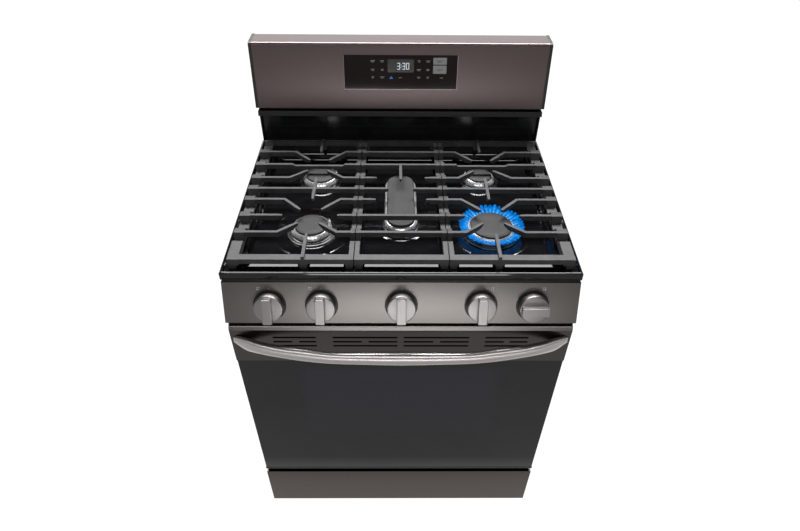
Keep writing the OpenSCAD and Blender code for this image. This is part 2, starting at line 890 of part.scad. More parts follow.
module oven_lamp() {
    color([0.95, 0.93, 0.85]) translate([-200, oven_y[1], 700]) rotate([90, 0, 0]) {
        cylinder(r = 24, h = 4);
        translate([0, 0, -26]) cylinder(r = 17, h = 27);
        translate([0, 0, 3]) cylinder(r1 = 20, r2 = 13, h = 12);
    }
}

// A wire rack: a bent frame, cross bars and wires running front to back.
module rack(level) {
    frame_r = 3;
    wire_r = 1.8;
    z = ledge_z[level] + frame_r + 0.35;
    x = 298;
    y0 = -216;
    y1 = 212;
    color([0.75, 0.75, 0.76]) {
        bent_rod([[x, y0, z], [-x, y0, z], [-x, y1, z], [x, y1, z], [x, y0, z]], frame_r);
        translate([x, y0, z]) sphere(r = frame_r + 0.25, $fn = 24);
        for (y = [-70, 75]) {
            rod([-x, y, z], [x, y, z], frame_r - 0.5);
        }
        for (k = [-9 : 9]) {
            rod([k * 30, y0 - 1, z + frame_r + 1], [k * 30, y1 + 1, z + frame_r + 1], wire_r);
        }
        // Raised stop at the back.
        bent_rod([[-x, y1, z], [-x + 10, y1 + 2, z + 18], [x - 10, y1 + 2, z + 18], [x, y1, z]], wire_r);
    }
}

// ---------------------------------------------------------------- door

module door_trim() {
    t = 1.5;
    shoulder = door_z1 - 15;
    outer = [
        [face_y, trim_z0], [face_y, shoulder], [face_y + 3, shoulder + 7], [face_y + 8, door_z1 - 3],
        [face_y + 14, door_z1], [liner_y, door_z1], [liner_y, trim_z0]
    ];
    inner = [
        [face_y + t, trim_z0 - 1], [face_y + t, shoulder - 1], [face_y + 4.5, shoulder + 6],
        [face_y + 9, door_z1 - 4.5], [face_y + 14, door_z1 - t], [liner_y + 1, door_z1 - t],
        [liner_y + 1, trim_z0 - 1]
    ];
    // Groups of vent slots, as [first x, last x, and the gap in the middle row].
    groups = [[-283, -188, -241, -226], [-151, -8, -87, -72], [6, 151, 72, 87], [187, 282, 229, 242]];
    slot_z = [door_z1 - 38, door_z1 - 52, door_z1 - 65.5];
    slot_h = 5;
    color([0.42, 0.39, 0.37]) difference() {
        prism_x(outer, -door_x, door_x);
        prism_x(inner, -door_x + t, door_x - t);
        for (g = groups) {
            for (z = [slot_z[0], slot_z[2]]) {
                box([g[0], face_y - 1, z - slot_h / 2], [g[1], face_y + 3, z + slot_h / 2]);
            }
            box([g[0], face_y - 1, slot_z[1] - slot_h / 2], [g[2], face_y + 3, slot_z[1] + slot_h / 2]);
            box([g[3], face_y - 1, slot_z[1] - slot_h / 2], [g[1], face_y + 3, slot_z[1] + slot_h / 2]);
        }
    }
}

module door_glass_outer() {
    color([0.08, 0.08, 0.1]) plate_y(face_y + 0.5, glass_back_y)
        translate([-door_x + 1.5, door_z0 + 7.3]) square([door_w - 3, trim_z0 - door_z0 - 7.6]);
}

// Clearance in the door for the fixed hinge ears, swept as the door opens.
module hinge_pockets() {
    both_sides() box([hinge_x - 19, hinge_y - 12, door_z0 - 5], [hinge_x + 19, -200, hinge_z + 12]);
}

// Folded frame: a front flange behind the glass, a wall round it and one round the window.
module door_frame() {
    t = 2;
    y0 = glass_back_y + 0.3;
    y1 = liner_y - 0.3;
    lo = [-door_x + 1, door_z0 + 7];
    hi = [door_x - 1, trim_z0 - 1];
    win_lo = [-window_x, window_z[0] - 10];
    win_hi = [window_x, window_z[1]];
    color([0.1, 0.1, 0.1]) difference() {
        union() {
            plate_y(y0, y0 + t) difference() {
                translate(lo) square(hi - lo);
                round_rect(win_lo, win_hi, 16);
            }
            plate_y(y0, y1) difference() {
                translate(lo) square(hi - lo);
                translate(lo + [t, t]) square(hi - lo - [2 * t, 2 * t]);
            }
            plate_y(y0, y1) difference() {
                round_rect(win_lo - [t, t], win_hi + [t, t], 18);
                round_rect(win_lo, win_hi, 16);
            }
            // Upper frame, behind the stainless band.
            plate_y(y1 - t, y1) translate([-door_x + 3, trim_z0 - 4]) square([door_w - 6, 112]);
            // Lower lip, flush with the face.
            box([-door_x, face_y, door_z0], [door_x, y1, door_z0 + 7.1]);
        }
        hinge_pockets();
    }
}

module door_liner() {
    t = 1.5;
    color([0.13, 0.14, 0.17]) difference() {
        union() {
            box([-door_x + 2, liner_y, door_z0 + 1], [door_x - 2, liner_y + t, door_z1 - 2]);
            plate_y(liner_y, plug_y)
                round_rect([-plug_x, plug_z[0]], [plug_x, plug_z[1]], 20);
        }
        plate_y(liner_y - 1, plug_y - t)
            round_rect([-plug_x + t, plug_z[0] + t], [plug_x - t, plug_z[1] - t], 18.5);
        plate_y(liner_y - 1, plug_y + 1)
            round_rect([-window_x + 24, window_z[0] + 14], [window_x - 24, window_z[1] - 16], 16);
        hinge_pockets();
    }
}

module door_glass_inner() {
    color([0.15, 0.15, 0.17, 0.5]) plate_y(plug_y - 6, plug_y - 1.6)
        round_rect([-window_x + 8, window_z[0] - 2], [window_x - 8, window_z[1]], 8);
}

// Stations along half of the handle: x, centre y and z, half depth and half height.
handle_path = [
    [0, -353.7, 764, 13.8, 17], [70, -353.4, 764, 12.6, 15.8], [150, -352.4, 764.5, 11, 14.6],
    [210, -345, 765, 12.4, 16.4], [262, -338, 766, 11.4, 15], [305, -328.5, 768, 10.8, 14],
    [340, -315, 771, 9.6, 12.5], [368, -303, 776, 7.5, 10]
];

module handle_slice(s) {
    translate([s[0], s[1], s[2]]) rotate([90, 0, 90]) linear_extrude(0.2)
        scale([s[3] / s[4], 1]) circle(s[4], $fn = 28);
}

module door_handle() {
    color([0.6, 0.57, 0.55]) difference() {
        both_sides() for (k = [0 : len(handle_path) - 2]) {
            hull() {
                handle_slice(handle_path[k]);
                handle_slice(handle_path[k + 1]);
            }
        }
        box([-400, face_y, 700], [400, face_y + 60, 830]);
    }
}

module door_hinges() {
    leaf = [hinge_x - 17.5, hinge_x + 14];
    color([0.6, 0.6, 0.6]) both_sides() {
        for (x = leaf) {
            box([x, hinge_y - 11.5, hinge_z - 8], [x + 3.5, hinge_y + 8, hinge_z + 11]);
        }
        box([leaf[0], hinge_y - 11.5, hinge_z - 8], [leaf[1] + 3.5, hinge_y - 9.5, hinge_z + 11]);
        translate([leaf[0] + 1, hinge_y, hinge_z]) rotate([0, 90, 0])
            cylinder(r = hinge_pin_r, h = leaf[1] - leaf[0] + 1);
    }
}

module hinge_receivers() {
    ear_r = 8.5;
    color([0.55, 0.55, 0.55]) both_sides() difference() {
        union() {
            box([hinge_x - 17, body_front_y - 2, hinge_z - 14],
                [hinge_x + 17, body_front_y - eps, hinge_z + 20]);
            for (x = [hinge_x - 9, hinge_x + 5]) {
                box([x, hinge_y, hinge_z - 6], [x + 4, body_front_y - 1, hinge_z + ear_r]);
                translate([x, hinge_y, hinge_z]) rotate([0, 90, 0]) cylinder(r = ear_r, h = 4);
            }
        }
        translate([hinge_x - 20, hinge_y, hinge_z]) rotate([0, 90, 0])
            cylinder(r = hinge_pin_r + running_gap, h = 40);
    }
}

// ---------------------------------------------------------------- drawer

drawer_back_y = -260;
drawer_y1 = 270;

module drawer_front() {
    t = 1.5;
    color([0.33, 0.29, 0.27]) difference() {
        box([-door_x, face_y - 0.7, foot_h], [door_x, drawer_back_y, drawer_z1]);
        box([-door_x + t, face_y - 0.7 + t, foot_h + t],
            [door_x - t, drawer_back_y + 5, drawer_z1 - t]);
    }
}

module drawer_box() {
    t = 1.5;
    x = 328;
    z0 = 76;
    z1 = 186;
    color([0.5, 0.5, 0.52]) {
        difference() {
            box([-x, drawer_back_y, z0], [x, drawer_y1, z1]);
            box([-x + t, drawer_back_y + t, z0 + t], [x - t, drawer_y1 - t, z1 + 5]);
        }
        // Front flange that closes the back of the drawer's front, and the runners.
        both_sides() {
            box([x - 2, drawer_back_y, z0], [door_x - 2, drawer_back_y + t, z1]);
            box([x - eps, drawer_back_y + 14, 124], [x + 9, drawer_y1, 134]);
        }
    }
}

module drawer_rails() {
    y0 = -246;
    y1 = 282;
    color([0.6, 0.6, 0.62]) both_sides() {
        difference() {
            box([338, y0, 119], [350, y1, 139]);
            box([330, y0 - 1, 121], [348, y1 + 1, 137]);
        }
        // Brackets to the side panels.
        for (y = [-200, 30, 250]) {
            box([350 - eps, y, 122], [body_x - sheet - 0.1, y + 20, 136]);
        }
    }
}

module screws() {
    color([0.7, 0.7, 0.7]) {
        for (z = [90, 300, 500, 700, 890]) {
            both_sides() translate([362, body_back_y + sheet, z]) rotate([-90, 0, 0]) {
                cylinder(r = 5, h = 1);
                translate([0, 0, 1 - eps]) cylinder(r = 4, h = 2.5, $fn = 6);
            }
        }
        for (z = [940, 1100, 1180]) {
            for (x = [-340, 0, 340]) {
                translate([x, guard_back_y, z]) rotate([-90, 0, 0]) {
                    cylinder(r = 5, h = 1);
                    translate([0, 0, 1 - eps]) cylinder(r = 4, h = 2.5, $fn = 6);
                }
            }
        }
    }
}

// ---------------------------------------------------------------- output

side_panels();
rear_cover();
base_frame();
leveling_feet();
cooktop();
control_panel();
knob_bezels();
oven_cavity();
oven_front_frame();
oven_gasket();
oven_insulation();
oven_floor();
bake_burner();
broil_burner();
oven_lamp();
gas_manifold();
pressure_regulator();
burner_valves();
burner_tubes();
burner_bases();
burner_heads();
igniters();
backguard_housing();
backguard_panel();
control_glass();
control_board();
vent_trim();
hinge_receivers();
drawer_rails();
screws();
door_trim();
door_glass_outer();
door_frame();
door_liner();
door_glass_inner();
door_handle();
door_hinges();
drawer_front();
drawer_box();
rack(rack_ledges[1]);  // upper_rack
rack(rack_ledges[0]);  // lower_rack
grate_left();
grate_center();
grate_right();
cap(0);  // cap_front_left
cap(1);  // cap_back_left
cap(2);  // cap_front_right
cap(3);  // cap_back_right
cap_center();
valve_stem(0);  // valve_stem_1
valve_stem(1);  // valve_stem_2
valve_stem(2);  // valve_stem_3
valve_stem(3);  // valve_stem_4
valve_stem(4);  // valve_stem_5
knob(0);  // knob_1
knob(1);  // knob_2
knob(2);  // knob_3
knob(3);  // knob_4
knob(4);  // knob_5
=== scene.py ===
"""Looks for the freestanding gas range: materials, fine meshes, marks, flame, light and camera."""

import json
import math

import bmesh
import bpy
from mathutils import Matrix, Vector


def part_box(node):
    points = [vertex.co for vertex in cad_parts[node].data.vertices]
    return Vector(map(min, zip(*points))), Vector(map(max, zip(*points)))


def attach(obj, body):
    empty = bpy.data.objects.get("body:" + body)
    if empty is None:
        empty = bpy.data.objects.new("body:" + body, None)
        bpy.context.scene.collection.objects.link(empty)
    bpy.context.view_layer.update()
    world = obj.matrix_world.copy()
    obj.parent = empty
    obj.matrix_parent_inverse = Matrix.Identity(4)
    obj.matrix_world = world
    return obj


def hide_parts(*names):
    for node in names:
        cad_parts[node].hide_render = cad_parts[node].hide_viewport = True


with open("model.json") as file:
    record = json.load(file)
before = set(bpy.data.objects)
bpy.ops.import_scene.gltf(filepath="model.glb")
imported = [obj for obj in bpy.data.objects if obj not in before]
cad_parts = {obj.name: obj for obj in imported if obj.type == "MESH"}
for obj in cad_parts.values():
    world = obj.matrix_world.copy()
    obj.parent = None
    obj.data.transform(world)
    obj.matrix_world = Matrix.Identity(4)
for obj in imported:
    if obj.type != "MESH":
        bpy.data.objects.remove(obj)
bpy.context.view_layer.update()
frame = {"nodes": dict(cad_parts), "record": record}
NODES = frame["nodes"]
MM = 0.001

# Where things are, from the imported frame, in millimetres.


def box_mm(node):
    low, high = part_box(node)
    return low / MM, high / MM


# The plan frame of the cooktop has X from the middle, Y from its front edge, Z from its rim.
TOP_LOW, TOP_HIGH = box_mm("cooktop")
HALF_W = TOP_HIGH.x
TOP_Y = TOP_LOW.y
TOP_D = TOP_HIGH.y - TOP_LOW.y
RIM_Z = TOP_HIGH.z
DOOR_LOW, DOOR_HIGH = box_mm("door_trim")
FACE_Y = DOOR_LOW.y
LEDGE = 5  # depth of the ledge below the rim
BASIN = 22  # depth of the basin below the rim
APRON = 19  # how far the cooktop's sides hang down
COOKTOP = Matrix.Translation((0, TOP_Y, RIM_Z))
# A profile's plane: outline x becomes world Y, outline y world Z, height world X.
ALONG_X = Matrix(((0, 0, 1, 0), (1, 0, 0, 0), (0, 1, 0, 0), (0, 0, 0, 1)))
# A front view's plane: outline x stays X, outline y becomes Z, height -Y.
ALONG_Y = Matrix(((1, 0, 0, 0), (0, 0, -1, 0), (0, 1, 0, 0), (0, 0, 0, 1)))

# ------------------------------------------------------------------ mesh helpers


def link(name, mesh):
    piece = bpy.data.objects.new(name, mesh)
    bpy.context.scene.collection.objects.link(piece)
    return piece


def finish_mesh(name, bm, material, smooth=False):
    """Turns a bmesh in millimetres into a piece in metres."""
    bmesh.ops.scale(bm, vec=(MM, MM, MM), verts=bm.verts)
    bmesh.ops.recalc_face_normals(bm, faces=bm.faces)
    mesh = bpy.data.meshes.new(name)
    bm.to_mesh(mesh)
    bm.free()
    mesh.materials.append(material)
    if smooth:
        mesh.polygons.foreach_set("use_smooth", [True] * len(mesh.polygons))
    return link(name, mesh)


def bevel(piece, width_mm, segments=3, angle=30):
    """Rounds a piece's edges and keeps its flat faces flat."""
    mod = piece.modifiers.new("edges", "BEVEL")
    mod.width = width_mm * MM
    mod.segments = segments
    mod.limit_method = "ANGLE"
    mod.angle_limit = math.radians(angle)
    mod.harden_normals = True
    mod.miter_outer = "MITER_ARC"
    piece.data.polygons.foreach_set("use_smooth", [True] * len(piece.data.polygons))


def sharpen(piece, angle=50):
    """Splits a smooth piece's normals where its surface turns by more than an angle."""
    mod = piece.modifiers.new("sharp", "EDGE_SPLIT")
    mod.split_angle = math.radians(angle)


def turns(count):
    """Equal steps round a circle, in radians."""
    return [2 * math.pi * k / count for k in range(count)]


def join_rings(bm, rings, capped=False):
    """Skins a row of closed rings of vertices, and closes both ends if asked."""
    for a, b in zip(rings, rings[1:]):
        for i in range(len(a)):
            j = (i + 1) % len(a)
            bm.faces.new((a[i], a[j], b[j], b[i]))
    if capped:
        bm.faces.new(rings[0][::-1])
        bm.faces.new(rings[-1])


def add_prism(bm, outline, low, high, place=None):
    """A prism on a closed 2D outline between two heights, put in place by a matrix."""
    place = place or Matrix.Identity(4)
    bottom = [bm.verts.new(place @ Vector((x, y, low))) for x, y in outline]
    top = [bm.verts.new(place @ Vector((x, y, high))) for x, y in outline]
    bm.faces.new(bottom[::-1])
    bm.faces.new(top)
    join_rings(bm, [bottom, top])


def add_box(bm, low, high, place=None):
    outline = [(low[0], low[1]), (high[0], low[1]), (high[0], high[1]), (low[0], high[1])]
    add_prism(bm, outline, low[2], high[2], place)


def add_lathe(bm, profile, place=None, segments=96):
    """A surface of revolution about Z from (radius, height) points; radius 0 closes it."""
    place = place or Matrix.Identity(4)
    rings = []
    for r, z in profile:
        if r < 1e-6:
            rings.append([bm.verts.new(place @ Vector((0, 0, z)))])
            continue
        rings.append([
            bm.verts.new(place @ Vector((r * math.cos(a), r * math.sin(a), z)))
            for a in turns(segments)
        ])
    for a, b in zip(rings, rings[1:]):
        for k in range(segments):
            j = (k + 1) % segments
            if len(a) == 1 and len(b) == 1:
                break
            if len(a) == 1:
                bm.faces.new((a[0], b[j], b[k]))
            elif len(b) == 1:
                bm.faces.new((a[k], a[j], b[0]))
            else:
                bm.faces.new((a[k], a[j], b[j], b[k]))


def round_rect(x0, y0, x1, y1, r, steps=8):
    """Outline of a rectangle with round corners."""
    points = []
    corners = (
        (x1 - r, y0 + r, -90), (x1 - r, y1 - r, 0), (x0 + r, y1 - r, 90), (x0 + r, y0 + r, 180),
    )
    for cx, cy, start in corners:
        for k in range(steps + 1):
            a = math.radians(start + 90 * k / steps)
            points.append((cx + r * math.cos(a), cy + r * math.sin(a)))
    return points


def stadium(r, y0, y1, steps=24):
    """Outline of a long shape with round ends, along Y."""
    points = []
    for cy, start in ((y1 - r, 0), (y0 + r, 180)):
        for k in range(steps + 1):
            a = math.radians(start + 180 * k / steps)
            points.append((r * math.cos(a), cy + r * math.sin(a)))
    return points


# ------------------------------------------------------------------ materials


class Shader:
    """A small helper round a material's node tree."""

    def __init__(self, name):
        self.material = bpy.data.materials.new(name)
        self.material.use_nodes = True
        self.tree = self.material.node_tree
        self.bsdf = self.tree.nodes["Principled BSDF"]
        self.coords = self.add("ShaderNodeTexCoord").outputs["Object"]

    def add(self, kind, **values):
        node = self.tree.nodes.new(kind)
        for key, value in values.items():
            setattr(node, key, value)
        return node

    def join(self, a, b):
        self.tree.links.new(a, b)

    def set(self, **values):
        names = {
            "color": "Base Color", "metallic": "Metallic", "roughness": "Roughness",
            "coat": "Coat Weight", "coat_roughness": "Coat Roughness", "alpha": "Alpha",
            "anisotropic": "Anisotropic", "specular": "Specular IOR Level",
        }
        for key, value in values.items():
            self.bsdf.inputs[names[key]].default_value = value

    def noise(self, scale, stretch=(1, 1, 1), detail=4.0, rough=0.6):
        """Noise in the piece's own metres, squeezed along its axes."""
        mapping = self.add("ShaderNodeMapping")
        mapping.inputs["Scale"].default_value = stretch
        self.join(self.coords, mapping.inputs["Vector"])
        noise = self.add("ShaderNodeTexNoise")
        noise.inputs["Scale"].default_value = scale
        noise.inputs["Detail"].default_value = detail
        noise.inputs["Roughness"].default_value = rough
        self.join(mapping.outputs["Vector"], noise.inputs["Vector"])
        return noise.outputs["Fac"]

    def ramp(self, source, stops):
        """Colours between (position, colour) stops."""
        ramp = self.add("ShaderNodeValToRGB")
        for element, (position, color) in zip(ramp.color_ramp.elements, stops):
            element.position = position
            element.color = (*color, 1)
        self.join(source, ramp.inputs["Fac"])
        return ramp.outputs["Color"]

    def range(self, source, low, high, from_low=0.3, from_high=0.7):
        """Spreads a value between two levels."""
        node = self.add("ShaderNodeMapRange")
        ends = {"From Min": from_low, "From Max": from_high, "To Min": low, "To Max": high}
        for key, value in ends.items():
            node.inputs[key].default_value = value
        self.join(source, node.inputs["Value"])
        return node.outputs["Result"]

    def bump(self, source, strength, distance):
        node = self.add("ShaderNodeBump")
        node.inputs["Strength"].default_value = strength
        node.inputs["Distance"].default_value = distance
        self.join(source, node.inputs["Height"])
        self.join(node.outputs["Normal"], self.bsdf.inputs["Normal"])


def shade(color, k):
    return tuple(min(1.0, c * k) for c in color)


def mottle(s, source, color, low, high):
    """Lets a noise vary the base colour between two shades of it."""
    stops = [(0.3, shade(color, low)), (0.7, shade(color, high))]
    s.join(s.ramp(source, stops), s.bsdf.inputs["Base Color"])


def scuff(s, source, roughness, low, high):
    """Lets a noise vary the roughness between two shares of it."""
    s.join(s.range(source, roughness * low, roughness * high), s.bsdf.inputs["Roughness"])


def brushed(name, color, roughness, stretch=(1, 60, 60), contrast=0.04, grain=0.006,
            smear=0.75, wander=0.1):
    """Brushed metal: fine lines along one axis; reflections smear across them."""
    s = Shader(name)
    lines = s.noise(40, stretch, detail=6, rough=0.6)
    mottle(s, lines, color, 1 - contrast, 1 + contrast)
    scuff(s, lines, roughness, 1 - wander, 1 + wander)
    s.bump(lines, grain, 0.0002)
    s.set(metallic=1.0)
    if smear:
        s.set(anisotropic=smear)
        along = s.add("ShaderNodeCombineXYZ")
        along.inputs["X"].default_value = 1.0
        s.join(along.outputs["Vector"], s.bsdf.inputs["Tangent"])
    return s.material


def enamel(name, color, roughness, coat=0.0, grain=0.03, scale=60, speck=None, specular=0.5):
    """Glassy or satin enamel and paint with faint waviness and, if asked, specks."""
    s = Shader(name)
    cloud = s.noise(scale, detail=3)
    mottle(s, cloud, color, 0.85, 1.15)
    scuff(s, cloud, roughness, 0.85, 1.2)
    if speck:
        dots = s.noise(900, detail=1)
        mix = s.add("ShaderNodeMix", data_type="RGBA")
        s.join(s.range(dots, 0, 1, 0.62, 0.7), mix.inputs["Factor"])
        s.join(s.bsdf.inputs["Base Color"].links[0].from_socket, mix.inputs["A"])
        mix.inputs["B"].default_value = (*speck, 1)
        s.join(mix.outputs["Result"], s.bsdf.inputs["Base Color"])
    s.bump(cloud, grain, 0.0005)
    s.set(coat=coat, coat_roughness=0.04, specular=specular)
    return s.material


def casting(name, color, roughness, grain=0.25, scale=700, metallic=0.0, specular=0.5):
    """A cast surface: fine sandy grain with soft blotches."""
    s = Shader(name)
    sand = s.noise(scale, detail=5, rough=0.7)
    blotch = s.noise(40, detail=3)
    mottle(s, blotch, color, 0.8, 1.2)
    scuff(s, sand, roughness, 0.85, 1.15)
    s.bump(sand, grain, 0.0003)
    s.set(metallic=metallic, specular=specular)
    return s.material


def woven(name, color):
    """A matt fibrous mat or braid."""
    s = Shader(name)
    fibre = s.noise(260, (1, 1, 3), detail=6, rough=0.75)
    mottle(s, fibre, color, 0.6, 1.3)
    s.bump(fibre, 0.6, 0.002)
    s.set(roughness=0.9)
    return s.material


def glowing(name, color, strength):
    """A lit mark on a near-black base."""
    s = Shader(name)
    wave = s.noise(300, detail=2)
    s.join(s.ramp(wave, [(0.3, shade(color, 0.9)), (0.7, color)]), s.bsdf.inputs["Emission Color"])
    s.bsdf.inputs["Emission Strength"].default_value = strength
    s.set(color=(0.02, 0.02, 0.02, 1), roughness=0.5)
    return s.material


def door_glass_material(name):
    """Dark coated glass, faintly see-through where the oven's window is."""
    s = Shader(name)
    window_low, window_high = box_mm("door_glass_inner")
    split = s.add("ShaderNodeSeparateXYZ")
    s.join(s.coords, split.inputs["Vector"])
    reach = s.add("ShaderNodeMath", operation="ABSOLUTE")
    s.join(split.outputs["X"], reach.inputs[0])
    soft = 0.012
    side, bottom, top = window_high.x * MM, window_low.z * MM, window_high.z * MM
    masks = [
        s.range(reach.outputs[0], 1, 0, side - soft, side + soft),
        s.range(split.outputs["Z"], 0, 1, bottom - soft, bottom + soft),
        s.range(split.outputs["Z"], 1, 0, top - soft, top + soft),
    ]
    product = masks[0]
    for mask in masks[1:]:
        times = s.add("ShaderNodeMath", operation="MULTIPLY")
        s.join(product, times.inputs[0])
        s.join(mask, times.inputs[1])
        product = times.outputs[0]
    s.join(s.range(product, 1.0, 0.8, 0, 1), s.bsdf.inputs["Alpha"])
    cloud = s.noise(8, detail=2)
    tint = s.add("ShaderNodeMix", data_type="RGBA")
    s.join(product, tint.inputs["Factor"])
    coating = [(0.3, (0.004, 0.004, 0.005)), (0.7, (0.007, 0.007, 0.009))]
    s.join(s.ramp(cloud, coating), tint.inputs["A"])
    tint.inputs["B"].default_value = (0.022, 0.021, 0.029, 1)
    s.join(tint.outputs["Result"], s.bsdf.inputs["Base Color"])
    s.set(roughness=0.05, specular=0.5)
    return s.material


def clear_glass_material(name, tint, roughness=0.03, alpha=0.35):
    """Plain glass that lets most of what is behind it show."""
    s = Shader(name)
    mottle(s, s.noise(12, detail=2), tint, 0.95, 1)
    s.set(roughness=roughness, alpha=alpha)
    return s.material


def flame_material(name, low_color, high_color, strength, thickness):
    """Gas flame: glowing, partly clear, with soft streaks that run outwards."""
    s = Shader(name)
    s.tree.nodes.remove(s.bsdf)
    lick = s.noise(130, (1, 1, 0.3), detail=2)
    glow = s.add("ShaderNodeEmission")
    s.join(s.ramp(lick, [(0.38, low_color), (0.62, high_color)]), glow.inputs["Color"])
    glow.inputs["Strength"].default_value = strength
    clear = s.add("ShaderNodeBsdfTransparent")
    mix = s.add("ShaderNodeMixShader")
    mix.inputs["Fac"].default_value = thickness
    s.join(clear.outputs["BSDF"], mix.inputs[1])
    s.join(glow.outputs["Emission"], mix.inputs[2])
    s.join(mix.outputs["Shader"], s.tree.nodes["Material Output"].inputs["Surface"])
    return s.material


STAINLESS = (0.135, 0.107, 0.105)
PANEL_STEEL = (0.122, 0.112, 0.107)
# The drawer front's darker copy of the stainless is painted shade.
DRAWER_STEEL_PAINTED_SHADE = (0.050, 0.038, 0.031)
SATIN = (0.66, 0.62, 0.605)
KNOB_STEEL = (0.30, 0.285, 0.278)
OVEN_SPECK = (0.12, 0.13, 0.17)
BLUES = (0.0, 0.13, 0.55), (0.0, 0.30, 0.97)
PALE_BLUES = (0.05, 0.45, 1.0), (0.35, 0.8, 1.0)
mat = {}


def finish(kind, name, *looks, **more):
    """Makes a material and keeps it under its name."""
    mat[name] = kind(name, *looks, **more)


finish(brushed, "black_stainless", STAINLESS, 0.34)
finish(brushed, "panel_steel", PANEL_STEEL, 0.3)
# A darker copy of the stainless for the drawer front: painted shade.
finish(brushed, "drawer_steel", DRAWER_STEEL_PAINTED_SHADE, 0.3)
finish(brushed, "satin_steel", SATIN, 0.44, contrast=0.02, grain=0.002, wander=0.03)
finish(brushed, "knob_steel", KNOB_STEEL, 0.36, (30, 1, 1), 0.02, 0.0005, 0, 0.02)
finish(enamel, "dark_paint", (0.016, 0.015, 0.015), 0.38, grain=0.05, scale=500)
finish(enamel, "frame_paint", (0.006, 0.006, 0.006), 0.5, scale=400)
finish(casting, "galvanised", (0.42, 0.43, 0.44), 0.42, grain=0.04, scale=120, metallic=1.0)
finish(enamel, "black_enamel", (0.0025, 0.0025, 0.003), 0.08, coat=0.3, grain=0.015, scale=25)
finish(enamel, "splash_enamel", (0.007, 0.0075, 0.0075), 0.17, grain=0.01, scale=25, specular=0.4)
finish(enamel, "ring_enamel", (0.006, 0.006, 0.0065), 0.2, coat=0.15, grain=0.0, scale=60)
finish(enamel, "oven_enamel", (0.012, 0.013, 0.02), 0.25, scale=80, speck=OVEN_SPECK)
finish(casting, "cap_enamel", (0.017, 0.017, 0.018), 0.6, grain=0.05, scale=900, specular=0.25)
finish(casting, "cast_iron", (0.044, 0.044, 0.045), 0.5, grain=0.12, specular=0.25)
finish(casting, "aluminium", (0.85, 0.85, 0.85), 0.28, grain=0.01, scale=300, metallic=0.8)
finish(casting, "cast_alloy", (0.3, 0.3, 0.3), 0.45, grain=0.12, metallic=1.0)
finish(brushed, "steel_tube", (0.5, 0.5, 0.5), 0.35)
finish(casting, "screw_steel", (0.55, 0.55, 0.55), 0.3, grain=0.03, metallic=1.0)
finish(brushed, "brass", (0.62, 0.42, 0.16), 0.3, stretch=(60, 1, 1), smear=0)
finish(casting, "chrome_wire", (0.8, 0.8, 0.81), 0.12, grain=0.01, metallic=1.0)
finish(casting, "foot_plastic", (0.02, 0.02, 0.02), 0.6, grain=0.1)
finish(casting, "black_plastic", (0.006, 0.006, 0.006), 0.4, grain=0.08)
# Also dresses the black strip that paints the shadow in the door's top gap.
finish(casting, "seal_rubber", (0.003, 0.003, 0.003), 0.9, grain=0.1, specular=0.05)
finish(woven, "gasket", (0.05, 0.05, 0.052))
finish(woven, "insulation", (0.7, 0.6, 0.25))
finish(clear_glass_material, "lamp_glass", (0.9, 0.88, 0.8), 0.25, 0.8)
finish(casting, "ceramic", (0.8, 0.78, 0.72), 0.5, grain=0.06)
finish(enamel, "control_glass", (0.016, 0.009, 0.009), 0.06, grain=0.0, scale=10, specular=0.15)
finish(enamel, "board", (0.01, 0.12, 0.05), 0.5, scale=200)
finish(door_glass_material, "door_glass")
finish(clear_glass_material, "clear_glass", (0.02, 0.02, 0.022))
finish(enamel, "mark_grey", (0.42, 0.42, 0.42), 0.5, scale=300)
finish(enamel, "key_grey", (0.3, 0.3, 0.3), 0.45, scale=300)
finish(glowing, "digit_white", (0.85, 0.93, 1.0), 1.1)
finish(glowing, "mark_blue", (0.05, 0.35, 1.0), 1.0)
finish(enamel, "display_dark", (0.018, 0.021, 0.019), 0.2, scale=40)
finish(enamel, "dark_line", (0.01, 0.01, 0.01), 0.5, scale=300)
finish(flame_material, "flame", *BLUES, 1.0, 0.62)
finish(flame_material, "flame_core", *PALE_BLUES, 1.0, 0.6)

# ------------------------------------------------------------------ CAD nodes that stay


def dress_cad_nodes():
    """Gives every CAD node its slot's material, and rounded edges where it shows."""
    rounded = {
        "control_panel": 1.0, "backguard_panel": 1.5, "backguard_housing": 2.0, "door_trim": 0.5,
        "drawer_front": 1.4, "door_glass_outer": 0.6, "door_frame": 0.6, "control_glass": 0.6,
        "vent_trim": 0.8, "side_panels": 0.4, "rear_cover": 0.4, "drawer_box": 0.4,
        "oven_cavity": 0.4, "door_liner": 0.4, "hinge_receivers": 0.4, "pressure_regulator": 1.0,
        "broil_burner": 1.0, "burner_bases": 0.6, "knob_bezels": 0.3, "base_frame": 0.3,
        "leveling_feet": 0.6, "screws": 0.3,
    }
    # Nodes whose finish differs from their slot's: a little for the panel, door trim and vent trim,
    # while the drawer front gets a much darker copy of the stainless as painted shade.
    special = {
        "control_panel": "panel_steel", "drawer_front": "drawer_steel",
        "door_trim": "panel_steel", "vent_trim": "splash_enamel",
    }
    for entry in frame["record"]["subparts"]:
        node = NODES[entry["node"]]
        node.data.materials.clear()
        node.data.materials.append(mat[special.get(entry["node"], entry["material_slot"])])
        width = rounded.get(entry["node"])
        if width:
            flat = node.modifiers.new("flat_faces", "DECIMATE")
            flat.decimate_type = "DISSOLVE"
            flat.angle_limit = math.radians(0.5)
            edges = node.modifiers.new("edges", "BEVEL")
            edges.width = width * MM
            edges.segments = 2
            edges.limit_method = "ANGLE"
            edges.angle_limit = math.radians(35)


# ------------------------------------------------------------------ cooktop

# Round burners: X, Y and cap radius. The fifth is a long shape from one Y to the other.
CAPS = {
    "front_left": (-205, 166, 38), "back_left": (-203, 375, 36),
    "front_right": (207, 166, 48.5), "back_right": (201, 374, 31),
}
OVAL_R = 33
OVAL_Y = (160, 370)
BASIN_SIDE, BASIN_FRONT, BASIN_BACK = 44, 44, 62
BASIN_R = 24
BASIN_WALL = (-1, 7.5)  # where the wall starts and ends, in from the basin's outline
RIM_R = 6
RIM_ROUND = 2.5
